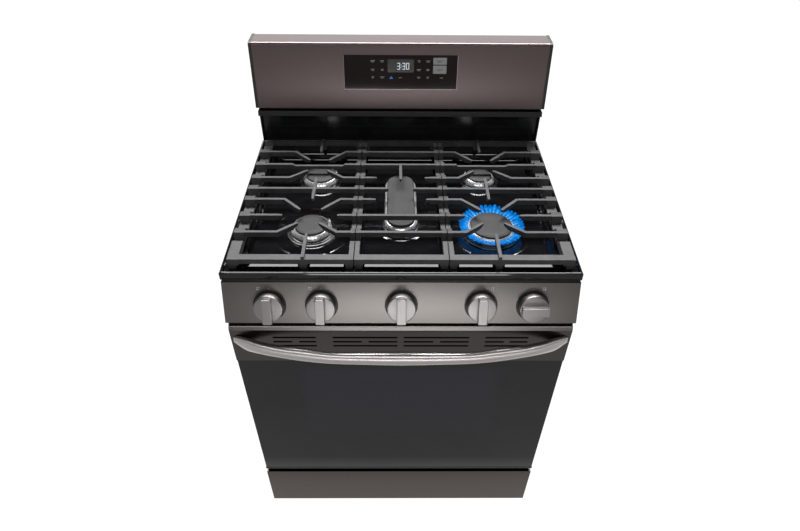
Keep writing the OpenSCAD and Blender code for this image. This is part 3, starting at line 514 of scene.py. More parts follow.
# The grates' feet stand in gaps of a bead along the front.
FEET_X = (90, 110, 206, 359)
FOOT_HALF = 9
BEAD = (24.0, 29.7)
BEAD_HIGH = 6.4
PAD_R = {"front_left": 88, "front_right": 91}
PAD_HIGH, LONG_PAD_HIGH = 0.45, 1.0


def clamp(x):
    return max(0.0, min(1.0, x))


def smoothstep(x, a, b):
    """Rises smoothly from 0 at a to 1 at b, or falls if b is below a."""
    t = clamp((x - a) / (b - a))
    return t * t * (3 - 2 * t)


def rect_inside(x, y, x0, y0, x1, y1, r):
    """Distance inside a rectangle with round corners; negative outside it."""
    dx = max(x0 + r - x, x - (x1 - r))
    dy = max(y0 + r - y, y - (y1 - r))
    outside = math.hypot(max(dx, 0), max(dy, 0))
    return r - outside - min(max(dx, dy), 0)


def cooktop_height(x, y):
    """Height of the enamelled top over its plan, from its rim."""
    edge = rect_inside(x, y, -HALF_W, 0, HALF_W, TOP_D, RIM_R)
    z = -RIM_ROUND * (1 - math.sin(math.pi / 2 * clamp(edge / RIM_ROUND)))
    z -= LEDGE * smoothstep(edge, 5, 9)
    side = HALF_W - BASIN_SIDE
    basin = rect_inside(x, y, -side, BASIN_FRONT, side, TOP_D - BASIN_BACK, BASIN_R)
    foot = min(abs(abs(x) - v) for v in FEET_X)
    bead = BEAD_HIGH * clamp((y - BEAD[0]) / (BEAD[1] - BEAD[0])) * smoothstep(y, 48, 40)
    bead *= smoothstep(foot, FOOT_HALF, FOOT_HALF + 2)
    z += bead * smoothstep(abs(x), HALF_W - 30, HALF_W - 62)
    z -= (BASIN - LEDGE) * smoothstep(basin, *BASIN_WALL)
    # Low pads round the burners, with a crisp step.
    for name, pad in PAD_R.items():
        d = math.hypot(x - CAPS[name][0], y - CAPS[name][1])
        z += PAD_HIGH * smoothstep(d, pad + 1.5, pad - 1.5) * smoothstep(basin, 8, 20)
    d = math.hypot(x, max(OVAL_Y[0] + OVAL_R - y, y - OVAL_Y[1] + OVAL_R, 0)) - OVAL_R
    z += LONG_PAD_HIGH * smoothstep(d, 31, 24)
    return z


def samples(length, fine=12, fine_step=0.8, step=2.2):
    """Grid positions along a side: close together near both ends."""
    ends = [k * fine_step for k in range(int(fine / fine_step) + 1)]
    inner = int((length - 2 * ends[-1]) / step)
    gap = (length - 2 * ends[-1]) / inner
    middle = [ends[-1] + gap * k for k in range(1, inner)]
    return ends + middle + [length - e for e in reversed(ends)]


def make_cooktop():
    bm = bmesh.new()
    xs = [v - HALF_W for v in samples(2 * HALF_W)]
    ys = sorted(samples(TOP_D) + [BEAD[0] - 0.3, *BEAD, BEAD[1] + 0.3])
    grid = [
        [bm.verts.new(COOKTOP @ Vector((x, y, cooktop_height(x, y)))) for x in xs] for y in ys
    ]
    for row, above in zip(grid, grid[1:]):
        for i in range(len(xs) - 1):
            bm.faces.new((row[i], row[i + 1], above[i + 1], above[i]))
    # The apron hangs from the outer loop and closes with a flat flange.
    right, left = [row[-1] for row in grid[1:]], [row[0] for row in grid[-2:0:-1]]
    loop = grid[0] + right + grid[-1][-2::-1] + left
    rings = [loop]
    flange = 2
    for drop, inset in ((APRON, 0), (APRON, flange), (6, flange)):
        ring = []
        for v in loop:
            local = COOKTOP.inverted() @ v.co
            x = max(-HALF_W + inset, min(HALF_W - inset, local.x))
            y = max(inset, min(TOP_D - inset, local.y))
            ring.append(bm.verts.new(COOKTOP @ Vector((x, y, -drop))))
        rings.append(ring)
    join_rings(bm, rings)
    piece = finish_mesh("cooktop_enamel", bm, mat["black_enamel"], smooth=True)
    sharpen(piece)
    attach(piece, "body")
    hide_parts("cooktop")


# ------------------------------------------------------------------ burners

FLOOR_Z = -BASIN
BASE_TOP = FLOOR_Z + 3
HEAD_TOP = -6


def make_head(name, x, y, r):
    """A polished burner head: a seat for the cap, a lip round it and a flare whose flame slots are
    dark patches of painted shade.
    """
    place = COOKTOP @ Matrix.Translation((x, y, 0))
    bm = bmesh.new()
    seat = [(r - 6, BASE_TOP + 2), (r - 6, HEAD_TOP - 1), (r - 3, HEAD_TOP), (r - 0.6, HEAD_TOP)]
    lip = [
        (r + 0.7, HEAD_TOP + 0.2), (r + 1.0, HEAD_TOP + 2.2), (r + 1.8, HEAD_TOP + 2.7),
        (r + 2.9, HEAD_TOP + 2.2),
    ]
    flare = [
        (r + 7.6, HEAD_TOP - 3.8), (r + 8.6, HEAD_TOP - 6.0), (r + 8.5, HEAD_TOP - 9.2),
        (r + 6.6, HEAD_TOP - 10.8),
    ]
    foot = [(r + 6.2, BASE_TOP - 1.4), (r - 6, BASE_TOP - 1.4), (r - 6, BASE_TOP + 2)]
    add_lathe(bm, seat + lip + flare + foot, place, 128)
    piece = finish_mesh("burner_head_" + name, bm, mat["aluminium"], smooth=True)
    sharpen(piece)
    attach(piece, "body")
    make_slot_shades(name, place, r)
    make_base_ring(name, place, r + 9)
    return piece


def make_slot_shades(name, place, r):
    """Dark patches down the head's flare where the flame slots are: painted shade in place of cut
    slots.
    """
    bm = bmesh.new()
    slot = round_rect(-0.9, -0.6, 1.9, 0.6, 0.5, 3)
    on_flare = Matrix.Translation((r + 5.4, 0, HEAD_TOP - 1))
    lean = Matrix.Rotation(math.radians(52), 4, "Y")
    for a in turns(int(r * 0.9)):
        turn = place @ Matrix.Rotation(a, 4, "Z") @ on_flare
        add_prism(bm, slot, -0.4, 0.45, turn @ lean)
    # Painted shade: dark prisms stand on the flare in place of cut slots.
    piece = finish_mesh(f"burner_slot_shade_{name}", bm, mat["dark_line"])
    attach(piece, "body")


def make_base_ring(name, place, r):
    """A black stepped ring that the head stands in; its two edges catch the light."""
    bm = bmesh.new()
    steps = [
        (-3, 1), (-3, 5.2), (2.4, 5.2), (3.0, 5.0), (3.3, 4.4), (3.5, 3.4),
        (8.4, 3.4), (9.2, 3.3), (9.8, 2.9), (10.1, 2.2), (10.2, 1), (-3, 1),
    ]
    add_lathe(bm, [(r + grow, FLOOR_Z + up) for grow, up in steps], place, 128)
    piece = finish_mesh(f"burner_ring_{name}", bm, mat["ring_enamel"], smooth=True)
    sharpen(piece, 60)
    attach(piece, "body")


def make_oval_head():
    """The long head: a polished rim round the cap, on two round base rings."""
    bm = bmesh.new()
    seat = [(-6, BASE_TOP), (-6, HEAD_TOP - 1), (-4, HEAD_TOP), (-0.4, HEAD_TOP)]
    flare = [
        (0.8, HEAD_TOP - 0.5), (2.2, HEAD_TOP - 1.4), (4.4, HEAD_TOP - 3.8),
        (5.2, HEAD_TOP - 5.4), (5.0, HEAD_TOP - 7.2), (3.6, HEAD_TOP - 8.2),
    ]
    foot = [(3.2, BASE_TOP - 1.4), (-6, BASE_TOP - 1.4), (-6, BASE_TOP)]
    add_oval_shell(bm, seat + flare + foot)
    piece = finish_mesh("burner_head_center", bm, mat["aluminium"], smooth=True)
    sharpen(piece)
    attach(piece, "body")
    for name, y in (("center_front", OVAL_Y[0] + OVAL_R), ("center_back", OVAL_Y[1] - OVAL_R)):
        make_base_ring(name, COOKTOP @ Matrix.Translation((0, y, -1)), OVAL_R)


def add_oval_shell(bm, rings):
    """Joins outlines of the long burner's shape, each grown by a margin, at given heights."""
    loops = []
    for grow, z in rings:
        outline = stadium(OVAL_R + grow, OVAL_Y[0] - grow, OVAL_Y[1] + grow)
        loops.append([bm.verts.new(COOKTOP @ Vector((x, y, z))) for x, y in outline])
    join_rings(bm, loops)
    return loops


def make_cap(name, x, y, r):
    """A round enamelled cap: rolled edge, faint step and a very shallow dish."""
    z0, z1 = HEAD_TOP + 0.3, box_mm("cap_" + name)[1].z - RIM_Z
    place = COOKTOP @ Matrix.Translation((x, y, 0))
    profile = [
        (0, z0 - 0.2), (r - 11, z0 - 0.2), (r - 11, z0 - 3.9), (r - 8.5, z0 - 3.9),
        (r - 8.5, z0), (r - 1.2, z0),
    ]
    roll, steps = 3, 8
    for k in range(steps + 1):
        a = math.pi * k / steps - math.pi / 2
        profile.append((r - roll + roll * math.cos(a), z0 + roll + roll * math.sin(a)))
    profile += [(r - 4, z1 - 0.9), (r - 6.5, z1 - 0.5), (r - 8, z1)]
    profile += [(r * 0.55, z1 - 0.25), (0, z1 - 0.5)]
    bm = bmesh.new()
    add_lathe(bm, profile, place, 128)
    piece = finish_mesh("cap_" + name + "_enamel", bm, mat["cap_enamel"], smooth=True)
    sharpen(piece)
    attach(piece, "cap_" + name)
    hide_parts("cap_" + name)


def make_oval_cap():
    """The long cap: a rolled edge, a lowered panel and a raised middle rib that fades out."""
    z0, z1 = HEAD_TOP + 0.3, 1.5
    rings = [
        (-11, z0 - 4), (-8.5, z0 - 4), (-8.5, z0), (-0.8, z0), (0, z0 + 1), (0, z1 - 3),
        (-0.7, z1 - 1.1), (-2, z1 - 0.3), (-3.6, z1), (-6.5, z1 - 0.3),
    ]
    bm = bmesh.new()
    loops = add_oval_shell(bm, rings)
    bm.faces.new(loops[0][::-1])
    # The crown, in rows across the cap: a dish on each side of the rib.
    outer = loops[-1]
    inner = OVAL_R - 6.5
    across = 14
    ys = sorted({round(v.co.y, 4) for v in outer if v.co.x >= -1e-6})
    rows = []
    for y in ys:
        side = [v for v in outer if abs(v.co.y - y) < 1e-3]
        right = max(side, key=lambda v: v.co.x)
        left = min(side, key=lambda v: v.co.x)
        depth = min(1.0, right.co.x / inner)
        along = (y - COOKTOP.translation.y - OVAL_Y[0]) / (OVAL_Y[1] - OVAL_Y[0])
        rib_height = 1.3 * smoothstep(along, 0.16, 0.26) * smoothstep(along, 0.7, 0.5)
        row = [left]
        for k in range(1, across):
            x = left.co.x + (right.co.x - left.co.x) * k / across
            dish = -1.7 * depth * smoothstep(abs(x), right.co.x, right.co.x * 0.55)
            rib = rib_height * smoothstep(abs(x), 7.5, 3.0)
            row.append(bm.verts.new((x, y, RIM_Z + z1 - 0.3 + dish + rib)))
        rows.append(row + [right])
    for a, b in zip(rows, rows[1:]):
        for k in range(across):
            corners = list(dict.fromkeys((a[k], a[k + 1], b[k + 1], b[k])))
            if len(corners) > 2:
                bm.faces.new(corners)
    piece = finish_mesh("cap_center_enamel", bm, mat["cap_enamel"], smooth=True)
    sharpen(piece)
    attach(piece, "cap_center")
    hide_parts("cap_center")


def add_tongue(bm, turn, path, half, around=10):
    """One flame tongue: a closed tapering tube along (distance out, height) points."""
    rings = []
    last = len(path) - 1
    for i, (out, up) in enumerate(path):
        t = i / last
        wide = half * math.sin(math.pi * (0.25 + 0.67 * t)) ** 0.45
        rings.append([
            bm.verts.new(turn @ Vector((out, wide * math.cos(a), up + 0.55 * wide * math.sin(a))))
            for a in turns(around)
        ])
    join_rings(bm, rings, capped=True)


def make_flame():
    """Two layers of tongues round the lit burner: a deep blue fan and a paler core."""
    x, y, r = CAPS["front_right"]
    count, steps = 42, 9
    # Each layer's reach, rise, half width and start above the slots.
    layers = (("flame_outer", "flame", 21, 9, 5.5, 0), ("flame_core", "flame_core", 13, 4, 1.8, 2))
    for name, material, reach, rise, half, lift in layers:
        bm = bmesh.new()
        root = (r + 4.5, HEAD_TOP - 1.5 + lift)
        for k, a in enumerate(turns(count)):
            wobble = math.sin(k * 2.3) * 0.5 + math.sin(k * 5.1) * 0.5
            turn = COOKTOP @ Matrix.Translation((x, y, 0)) @ Matrix.Rotation(a, 4, "Z")
            path = []
            for t in [i / steps for i in range(steps + 1)]:
                path.append((root[0] + (reach + wobble) * t, root[1] + (rise + wobble) * t ** 1.3))
            add_tongue(bm, turn, path, half)
        piece = finish_mesh(name + "_front_right", bm, mat[material], smooth=True)
        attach(piece, "body")


def make_burners():
    heads = [make_head(name, *spot) for name, spot in CAPS.items()]
    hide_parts("burner_heads")
    make_oval_head()
    for name, spot in CAPS.items():
        make_cap(name, *spot)
    make_oval_cap()
    make_flame()


# ------------------------------------------------------------------ grates

ROWS = (105, 166, 227.7, 272.5, 319, 379, 439.5)  # Y of each row of fingers
COLUMN = 206  # X of the side grates' middle fingers
FINGER_TOP, FRAME_TOP, BAR_LOW, FINGER_LOW = 27, 20, 7.5, 14
SIDE_BOTTOM, SIDE_LOW = 2, 9
FINGER_HALF = 3.5
FINGER_DRAFT = 0.75  # a finger's width underneath, as a share of its top
TIP_LENGTH = 14
DIP_DEEP = 4
GRATE_Y = (20, 510)
FRONT_BAR_Y, BACK_BAR_Y = 37, 501
SPLIT = 100
WALL_OUT = (341, 364)
WALL_IN = 10


def side_bar_outline():
    """Level at the front, then a plateau at each finger row that slopes into a low saddle."""
    front, back = GRATE_Y[0] + 0.5, GRATE_Y[1] - 0.5
    points = [
        (front, SIDE_BOTTOM), (front, BAR_LOW + 2), (GRATE_Y[0] + 3, FRAME_TOP),
        (ROWS[0] - 24, FRAME_TOP), (ROWS[0] - 17, SIDE_LOW),
    ]
    for y in ROWS:
        points += [
            (y - FINGER_HALF - 3, SIDE_LOW), (y - FINGER_HALF - 0.6, FINGER_TOP),
            (y + FINGER_HALF + 0.6, FINGER_TOP), (y + 15, FINGER_TOP - 2.5),
            (y + 23, FRAME_TOP - 2), (y + 31, SIDE_LOW),
        ]
    return points + [
        (GRATE_Y[1] - 14, SIDE_LOW), (GRATE_Y[1] - 8, FRAME_TOP), (back, FRAME_TOP),
        (back, SIDE_BOTTOM),
    ]


def add_side_bar(bm, x0, x1):
    add_prism(bm, side_bar_outline(), min(x0, x1), max(x0, x1), COOKTOP @ ALONG_X)


def add_path_finger(bm, path, tip_scale=0.7, low_tip=6.0, dip=None):
    """A cast finger along plan points; its end is narrower and cut back underneath.

    Its top is lowered between the two points that dip names.
    """
    widths = [FINGER_HALF] * len(path)
    widths[-1] *= tip_scale
    points = [Vector(p) for p in path]
    lengths = [(b - a).length for a, b in zip(points, points[1:])]
    # Split the last stretch so that the underside can rise towards the tip.
    if low_tip:
        a, b = points[-2], points[-1]
        back = max(0.0, 1 - TIP_LENGTH / lengths[-1])
        points.insert(-1, a + (b - a) * back)
        widths.insert(-1, FINGER_HALF)
    sides = []
    for i, p in enumerate(points):
        before = (p - points[i - 1]).normalized() if i else None
        after = (points[i + 1] - p).normalized() if i < len(points) - 1 else None
        along = ((before or after) + (after or before)).normalized()
        side = Vector((-along.y, along.x))
        stretch = 1 / max(0.5, along.dot(before or after))
        sides.append(side * widths[i] * stretch)
    rings = []
    for i, (p, side) in enumerate(zip(points, sides)):
        tip = i == len(points) - 1
        low = FINGER_LOW + (low_tip if tip else 0)
        high = FINGER_TOP - (0.4 if tip and low_tip else 0)
        if dip and dip[0] <= i <= dip[1]:
            high -= DIP_DEEP
        under = side * FINGER_DRAFT
        section = (*(p - under), low), (*(p + under), low), (*(p + side), high), (*(p - side), high)
        rings.append([bm.verts.new(COOKTOP @ Vector(corner)) for corner in section])
    join_rings(bm, rings, capped=True)


def add_end_bars(bm, x0, x1, feet):
    """The front and back bars between two sides, with a tapered foot at each X."""
    high, low = BAR_LOW + 1, -LEDGE + 0.2
    for y0, y1 in ((GRATE_Y[0], FRONT_BAR_Y), (BACK_BAR_Y, GRATE_Y[1])):
        add_box(bm, (min(x0, x1), y0, BAR_LOW), (max(x0, x1), y1, FRAME_TOP), COOKTOP)
        for x in feet:
            outline = [(x - FOOT_HALF, high), (x - 7, low), (x + 7, low), (x + FOOT_HALF, high)]
            add_prism(bm, outline, -y1, -y0, COOKTOP @ ALONG_Y)


def make_side_grate(side, name):
    """The left (-1) or right (1) grate: two burners' fingers inside a frame."""
    bm = bmesh.new()
    inner, inner_bar = SPLIT + 1, SPLIT + 1 + WALL_IN
    feet = [side * x for x in (inner + FOOT_HALF, COLUMN, WALL_OUT[1] - FOOT_HALF)]
    add_end_bars(bm, side * inner, side * WALL_OUT[1], feet)
    add_side_bar(bm, side * WALL_OUT[0], side * WALL_OUT[1])
    add_side_bar(bm, side * inner, side * inner_bar)
    root_in, root_out = inner_bar - 2, WALL_OUT[0] + 2
    # Bent fingers towards the burners, with the Y that each row's tips reach.
    for row, tip_y in ((0, 138), (2, 187), (4, 352), (6, 399)):
        y = ROWS[row]
        for root, turn in ((root_in, -1), (root_out, 1)):
            path = [(root, y), (COLUMN + turn * 65, y), (COLUMN + turn * 24, tip_y)]
            add_path_finger(bm, [(side * x, v) for x, v in path])
    for root, turn in ((root_in, -1), (root_out, 1)):
        add_path_finger(bm, [(side * root, ROWS[1]), (side * (COLUMN + turn * 62), ROWS[1])])
    # Two full-width bars; the back one is lower over its burner.
    add_path_finger(bm, [(side * root_in, ROWS[3]), (side * root_out, ROWS[3])], 1, 0)
    dip_x = (root_in, COLUMN - 66, COLUMN - 60, COLUMN + 60, COLUMN + 66, root_out)
    add_path_finger(bm, [(side * x, ROWS[5]) for x in dip_x], 1, 0, dip=(2, 3))
    # The middle column.
    x = side * COLUMN
    add_path_finger(bm, [(x, GRATE_Y[0] + 0.2), (x, 100)])
    add_path_finger(bm, [(x, ROWS[3]), (x, ROWS[2] + 1)])
    add_path_finger(bm, [(x, ROWS[3]), (x, ROWS[4])])
    add_path_finger(bm, [(x, BACK_BAR_Y + 2), (x, ROWS[6])])
    finish_grate(bm, name)


def fuse(piece):
    """Unites a piece's overlapping bars and fingers into one closed surface."""
    # The modifier wants a second operand: a grain of metal inside the first bar.
    bm = bmesh.new()
    grain = 0.2
    add_box(bm, [-grain] * 3, [grain] * 3)
    core = finish_mesh("core", bm, mat["cast_iron"])
    corners = [v.co for v in piece.data.vertices[:8]]
    core.location = corners[0] + (sum(corners, Vector()) / 8 - corners[0]) * 0.9
    mod = piece.modifiers.new("fuse", "BOOLEAN")
    mod.operation = "UNION"
    mod.solver = "EXACT"
    mod.use_self = True
    mod.object = core
    bpy.context.view_layer.update()
    graph = bpy.context.evaluated_depsgraph_get()
    solid = bpy.data.meshes.new_from_object(piece.evaluated_get(graph))
    piece.modifiers.clear()
    bpy.data.objects.remove(core)
    bm = bmesh.new()
    bm.from_mesh(solid)
    bmesh.ops.remove_doubles(bm, verts=bm.verts, dist=0.05 * MM)
    bmesh.ops.dissolve_limit(bm, angle_limit=math.radians(0.6), verts=bm.verts, edges=bm.edges)
    bm.to_mesh(solid)
    bm.free()
    piece.data = solid


def finish_grate(bm, name):
    piece = finish_mesh(name + "_cast", bm, mat["cast_iron"])
    fuse(piece)
    bevel(piece, 0.9, 2, 25)
    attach(piece, name)
    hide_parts(name)


def make_center_grate():
    """The middle grate: fingers round the long burner, with one bar along it."""
    bm = bmesh.new()
    edge = SPLIT - 1
    wall = edge - WALL_IN
    add_end_bars(bm, -edge, edge, [-edge + FOOT_HALF, edge - FOOT_HALF])
    for side in (-1, 1):
        add_side_bar(bm, side * wall, side * edge)
        for row, tip in ((2, 59), (4, 59), (3, 29.5)):
            add_path_finger(bm, [(side * (wall + 2), ROWS[row]), (side * tip, ROWS[row])])
    for row in (0, 1, 5, 6):
        add_path_finger(bm, [(-wall - 2, ROWS[row]), (wall + 2, ROWS[row])], 1, 0)
    add_path_finger(bm, [(0, ROWS[5]), (0, 312)])
    finish_grate(bm, "grate_center")


# ------------------------------------------------------------------ knobs

KNOB_X = (-278.5, -169, 0, 169, 278.5)
KNOB_Z = 867.2
KNOB_TURN = (0, 0, 0, 0, 90)  # the rightmost knob is shown turned on
# The slanted panel's face: Y and Z of its lower and upper edges.
PANEL_LOW, PANEL_HIGH = Vector((-306.9, 827.4)), Vector((-274.8, 916.5))
SLANT = math.atan2(PANEL_HIGH.y - PANEL_LOW.y, PANEL_HIGH.x - PANEL_LOW.x)
KNOB_Y = PANEL_LOW.x + (KNOB_Z - PANEL_LOW.y) / math.tan(SLANT)


def on_panel(x):
    """The frame of one knob: Z stands out of the panel, Y runs up it."""
    return Matrix.Translation((x, KNOB_Y, KNOB_Z)) @ Matrix.Rotation(SLANT, 4, "X")


def make_knob(i):
    """A knob: a hollow disc with a bored hub for its stem, and a tall grip across it."""
    place = on_panel(KNOB_X[i])
    bm = bmesh.new()
    foot, face, r = 5, 22, 30.5
    stem_r, stem_top, hub_r, wall = 3.05, foot + 11, 6.5, 3
    hub = [(0, stem_top), (stem_r, stem_top), (stem_r, foot), (hub_r, foot), (hub_r, face - wall)]
    skirt = [(r - wall, face - wall), (r - wall, foot), (r - 0.4, foot), (r, foot + 0.4)]
    rim = [(r, face - 1.6), (r - 0.35, face - 0.9), (r - 1.5, face - 0.1), (r - 2.4, face), (0, face)]
    add_lathe(bm, hub + skirt + rim, place, 128)
    disc = finish_mesh(f"knob_{i + 1}_disc", bm, mat["knob_steel"], smooth=True)
    sharpen(disc, 32)
    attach(disc, f"knob_{i + 1}")
    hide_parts(f"knob_{i + 1}")
    bm = bmesh.new()
    turned = place @ Matrix.Rotation(math.radians(KNOB_TURN[i]), 4, "Z")
    half_w, half_l, top = 9.7, 28, 38
    grip_outline = round_rect(-half_w, -half_l, half_w, half_l, 2.2, 5)
    add_prism(bm, grip_outline, face - 1, top, turned)
    grip = finish_mesh(f"knob_{i + 1}_grip", bm, mat["knob_steel"])
    bevel(grip, 1.2, 3, 40)
    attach(grip, f"knob_{i + 1}")


# ------------------------------------------------------------------ door handle and painted gap shadow

# From the middle to the right end: X, Y, Z, half depth and half height of the bar.
HANDLE_PATH = (
    (0, -353.7, 766, 13.7, 17), (70, -353.4, 766, 12.6, 15.8), (150, -352.4, 766.5, 11, 14.8),
    (210, -345, 768, 12.4, 16.4), (262, -338, 770, 11.6, 15.6), (305, -328.5, 771, 11.4, 16.5),
    (340, -315, 768.5, 10.4, 18), (368, -303, 772, 6.5, 9),
)
# The dark strip's section, painted shadow in the gap under the knob panel: Y from the door's face and
# Z from its top, along the trim's shoulder.
GAP_SHADOW_SECTION = ((14, 0.5), (7.7, -2.6), (4.4, -5.9), (5.0, -6.6), (8.3, -3.4), (14, -0.4))


def spline(points, t):
    """Catmull-Rom through a list of tuples, t in 0..len-1."""
    i = min(int(t), len(points) - 2)
    u = t - i
    p = [points[max(0, min(len(points) - 1, i + k))] for k in (-1, 0, 1, 2)]
    return [
        0.5 * (2 * b + (c - a) * u + (2 * a - 5 * b + 4 * c - d) * u * u
               + (3 * b - a - 3 * c + d) * u ** 3)
        for a, b, c, d in zip(*p)
    ]


def make_handle():
    """A bowed oval bar whose ends run into the door's face."""
    bm = bmesh.new()
    steps = 8
    half = [spline(HANDLE_PATH, k / steps) for k in range(steps * (len(HANDLE_PATH) - 1) + 1)]
    path = [[-s[0], *s[1:]] for s in half[::-1]] + half[1:]
    rings = []
    for x, y, z, depth, height in path:
        rings.append([
            bm.verts.new((x, min(y + depth * math.cos(a), FACE_Y), z + height * math.sin(a)))
            for a in turns(40)
        ])
    join_rings(bm, rings, capped=True)
    piece = finish_mesh("door_handle_bar", bm, mat["satin_steel"], smooth=True)
    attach(piece, "door")
    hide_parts("door_handle")


def make_gap_shadow_strip():
    """A thin black strip along the door's top shoulder: painted shadow in the gap under the knob
    panel.
    """
    bm = bmesh.new()
    ends = []
    for x in (DOOR_LOW.x + 1.5, DOOR_HIGH.x - 1.5):
        ends.append([bm.verts.new((x, FACE_Y + dy, DOOR_HIGH.z + dz)) for dy, dz in GAP_SHADOW_SECTION])
    join_rings(bm, ends, capped=True)
    # Painted shadow: a black strip where the gap under the knob panel is only in shade.
    piece = finish_mesh("door_gap_shadow_strip", bm, mat["seal_rubber"])
    bevel(piece, 0.2, 2, 40)
    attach(piece, "door")


# ------------------------------------------------------------------ marks and display

GUARD_LOW = (264.5, 1038)  # Y and Z of the backguard face's lower edge
GUARD_LEAN = math.atan2(21, 164)
PRINT = (-0.05, 0.12)  # how deep and how high a printed mark is


def on_guard():
    """The frame of the control glass: X right, Y up the face, Z out of it."""
    base = Matrix.Translation((0, GUARD_LOW[0], GUARD_LOW[1]))
    return base @ Matrix.Rotation(math.pi / 2 - GUARD_LEAN, 4, "X")


def guard_y(z_above_rim):
    """The place up the backguard's face that is this far above the cooktop's rim."""
    return (z_above_rim + RIM_Z - GUARD_LOW[1]) / math.cos(GUARD_LEAN)


def add_plate(bm, x0, y0, x1, y1, low, high, place, r=0.0):
    square = [(x0, y0), (x1, y0), (x1, y1), (x0, y1)]
    add_prism(bm, round_rect(x0, y0, x1, y1, r, 4) if r else square, low, high, place)


def mark_piece(name, bm, material):
    piece = finish_mesh(name, bm, mat[material])
    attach(piece, "body")
    return piece


SEGMENTS = {"0": "abcdef", "3": "abcdg"}


def add_digit(bm, char, x, y, w, h, low, high, place):
    """A plain seven-segment digit."""
    t = 1.1
    mid, x1, y1 = y + h / 2, x + w, y + h
    parts = {
        "a": (x, y1 - t, x1, y1), "g": (x, mid - t / 2, x1, mid + t / 2), "d": (x, y, x1, y + t),
        "f": (x, mid, x + t, y1), "b": (x1 - t, mid, x1, y1),
        "e": (x, y, x + t, mid), "c": (x1 - t, y, x1, mid),
    }
    for key in SEGMENTS[char]:
        add_plate(bm, *parts[key], low, high, place)


def make_glass_edge():
    """A slim bright edge along the control glass: both sides and the bottom."""
    low, high = box_mm("control_glass")
    y0, y1 = guard_y(low.z - RIM_Z) + 0.6, guard_y(high.z - RIM_Z) - 0.6
    bm = bmesh.new()
    add_plate(bm, low.x - 1.6, y0 - 1.6, high.x + 1.6, y0, -0.3, 1.9, on_guard())
    add_plate(bm, high.x, y0, high.x + 1, y1, -0.3, 1.4, on_guard())
    add_plate(bm, low.x - 0.8, y0, low.x, y1, -0.3, 1.4, on_guard())
    piece = mark_piece("control_glass_edge", bm, "satin_steel")
    bevel(piece, 0.5, 2, 40)


def make_control_marks():
    """The clock, keys and key legends on the control glass, all without words."""
    place = on_guard()
    glass = 1.2
    low, high = glass - 0.1, glass + PRINT[1]
    over = high + PRINT[0]
    # Display window and its digits.
    bm = bmesh.new()
    add_plate(bm, -33, guard_y(196), 33, guard_y(228.5), low, high, place, 1.5)
    mark_piece("display_window", bm, "display_dark")
    bm = bmesh.new()
    y, h = guard_y(203.5), 16
    for char, x in (("3", -9), ("3", 4), ("0", 14)):
        add_digit(bm, char, x, y, 7, h, over, high + 0.1, place)
    dot = 1.4
    for dy in (4.5, 10.5):
        add_plate(bm, 0, y + dy, dot, y + dy + dot, over, high + 0.1, place)
    mark_piece("display_digits", bm, "digit_white")
    # Two square keys, one above the other.
    bm = bmesh.new()
    for z0, z1 in ((193, 213.4), (215.6, 232.5)):
        add_plate(bm, 82, guard_y(z0), 116, guard_y(z1), low, high, place, 1.5)
    mark_piece("touch_keys", bm, "key_grey")
    bm = bmesh.new()
    for z0 in (201, 222):
        for k in range(3):
            z = z0 + 3 - 2 * k
            x0, x1 = 91 + k * 0.8, 107 - k * 2.5
            add_plate(bm, x0, guard_y(z), x1, guard_y(z + 0.7), over, high + 0.08, place)
    mark_piece("touch_key_bars", bm, "dark_line")
    # Generic key legends: short bars in place of words.
    bm = bmesh.new()
    for column, x in enumerate((-71, -47, 46, 69)):
        for row, z in enumerate((223, 202, 183)):
            wide = 5.5 - 1.0 * ((row + column) % 3)
            slim = wide * 0.7
            add_plate(bm, x - wide, guard_y(z + 1.2), x + wide, guard_y(z + 2.3), low, high, place)
            add_plate(bm, x - slim, guard_y(z - 1.8), x + slim, guard_y(z - 0.8), low, high, place)
    for x in (-1, 104):
        add_plate(bm, x - 4, guard_y(182), x + 4, guard_y(183), low, high, place)
    mark_piece("key_legends", bm, "mark_grey")
    bm = bmesh.new()
    add_plate(bm, -28, guard_y(180.5), -20, guard_y(181.6), low, high, place)
    add_plate(bm, -26.5, guard_y(183.5), -21.5, guard_y(184.6), low, high, place)
    mark_piece("key_legend_blue", bm, "mark_blue")


MARKED_BURNER = (0, 2, 1, 3, 1)


def make_panel_marks():
    """Plain dots and burner-place squares printed above the knobs."""
    bm = bmesh.new()
    for i, x in enumerate(KNOB_X):
        place = on_panel(x)
        add_prism(bm, round_rect(-0.9, 36.5, 0.9, 38.3, 0.9, 4), *PRINT, place)
        middle = (-22 if i < 2 else 22, 38.5)
        for k in range(4):
            cx, cy = middle[0] + (k % 2) * 4.2 - 2.1, middle[1] + (k // 2) * 4.2 - 2.1
            r = 1.7 if k == MARKED_BURNER[i] else 1.1
            add_plate(bm, cx - r, cy - r, cx + r, cy + r, *PRINT, place)
    mark_piece("panel_marks", bm, "mark_grey")


# ------------------------------------------------------------------ light, floor and camera


def area_light(name, place, target, size, power, color=(1, 1, 1)):
    data = bpy.data.lights.new(name, "AREA")
    data.shape = "RECTANGLE"
    data.size, data.size_y = size
    data.energy = power
    data.color = color
    lamp = bpy.data.objects.new(name, data)
    bpy.context.scene.collection.objects.link(lamp)
    lamp.location = place
    lamp.rotation_euler = (Vector(target) - Vector(place)).to_track_quat("-Z", "Y").to_euler()
    lamp.visible_camera = False


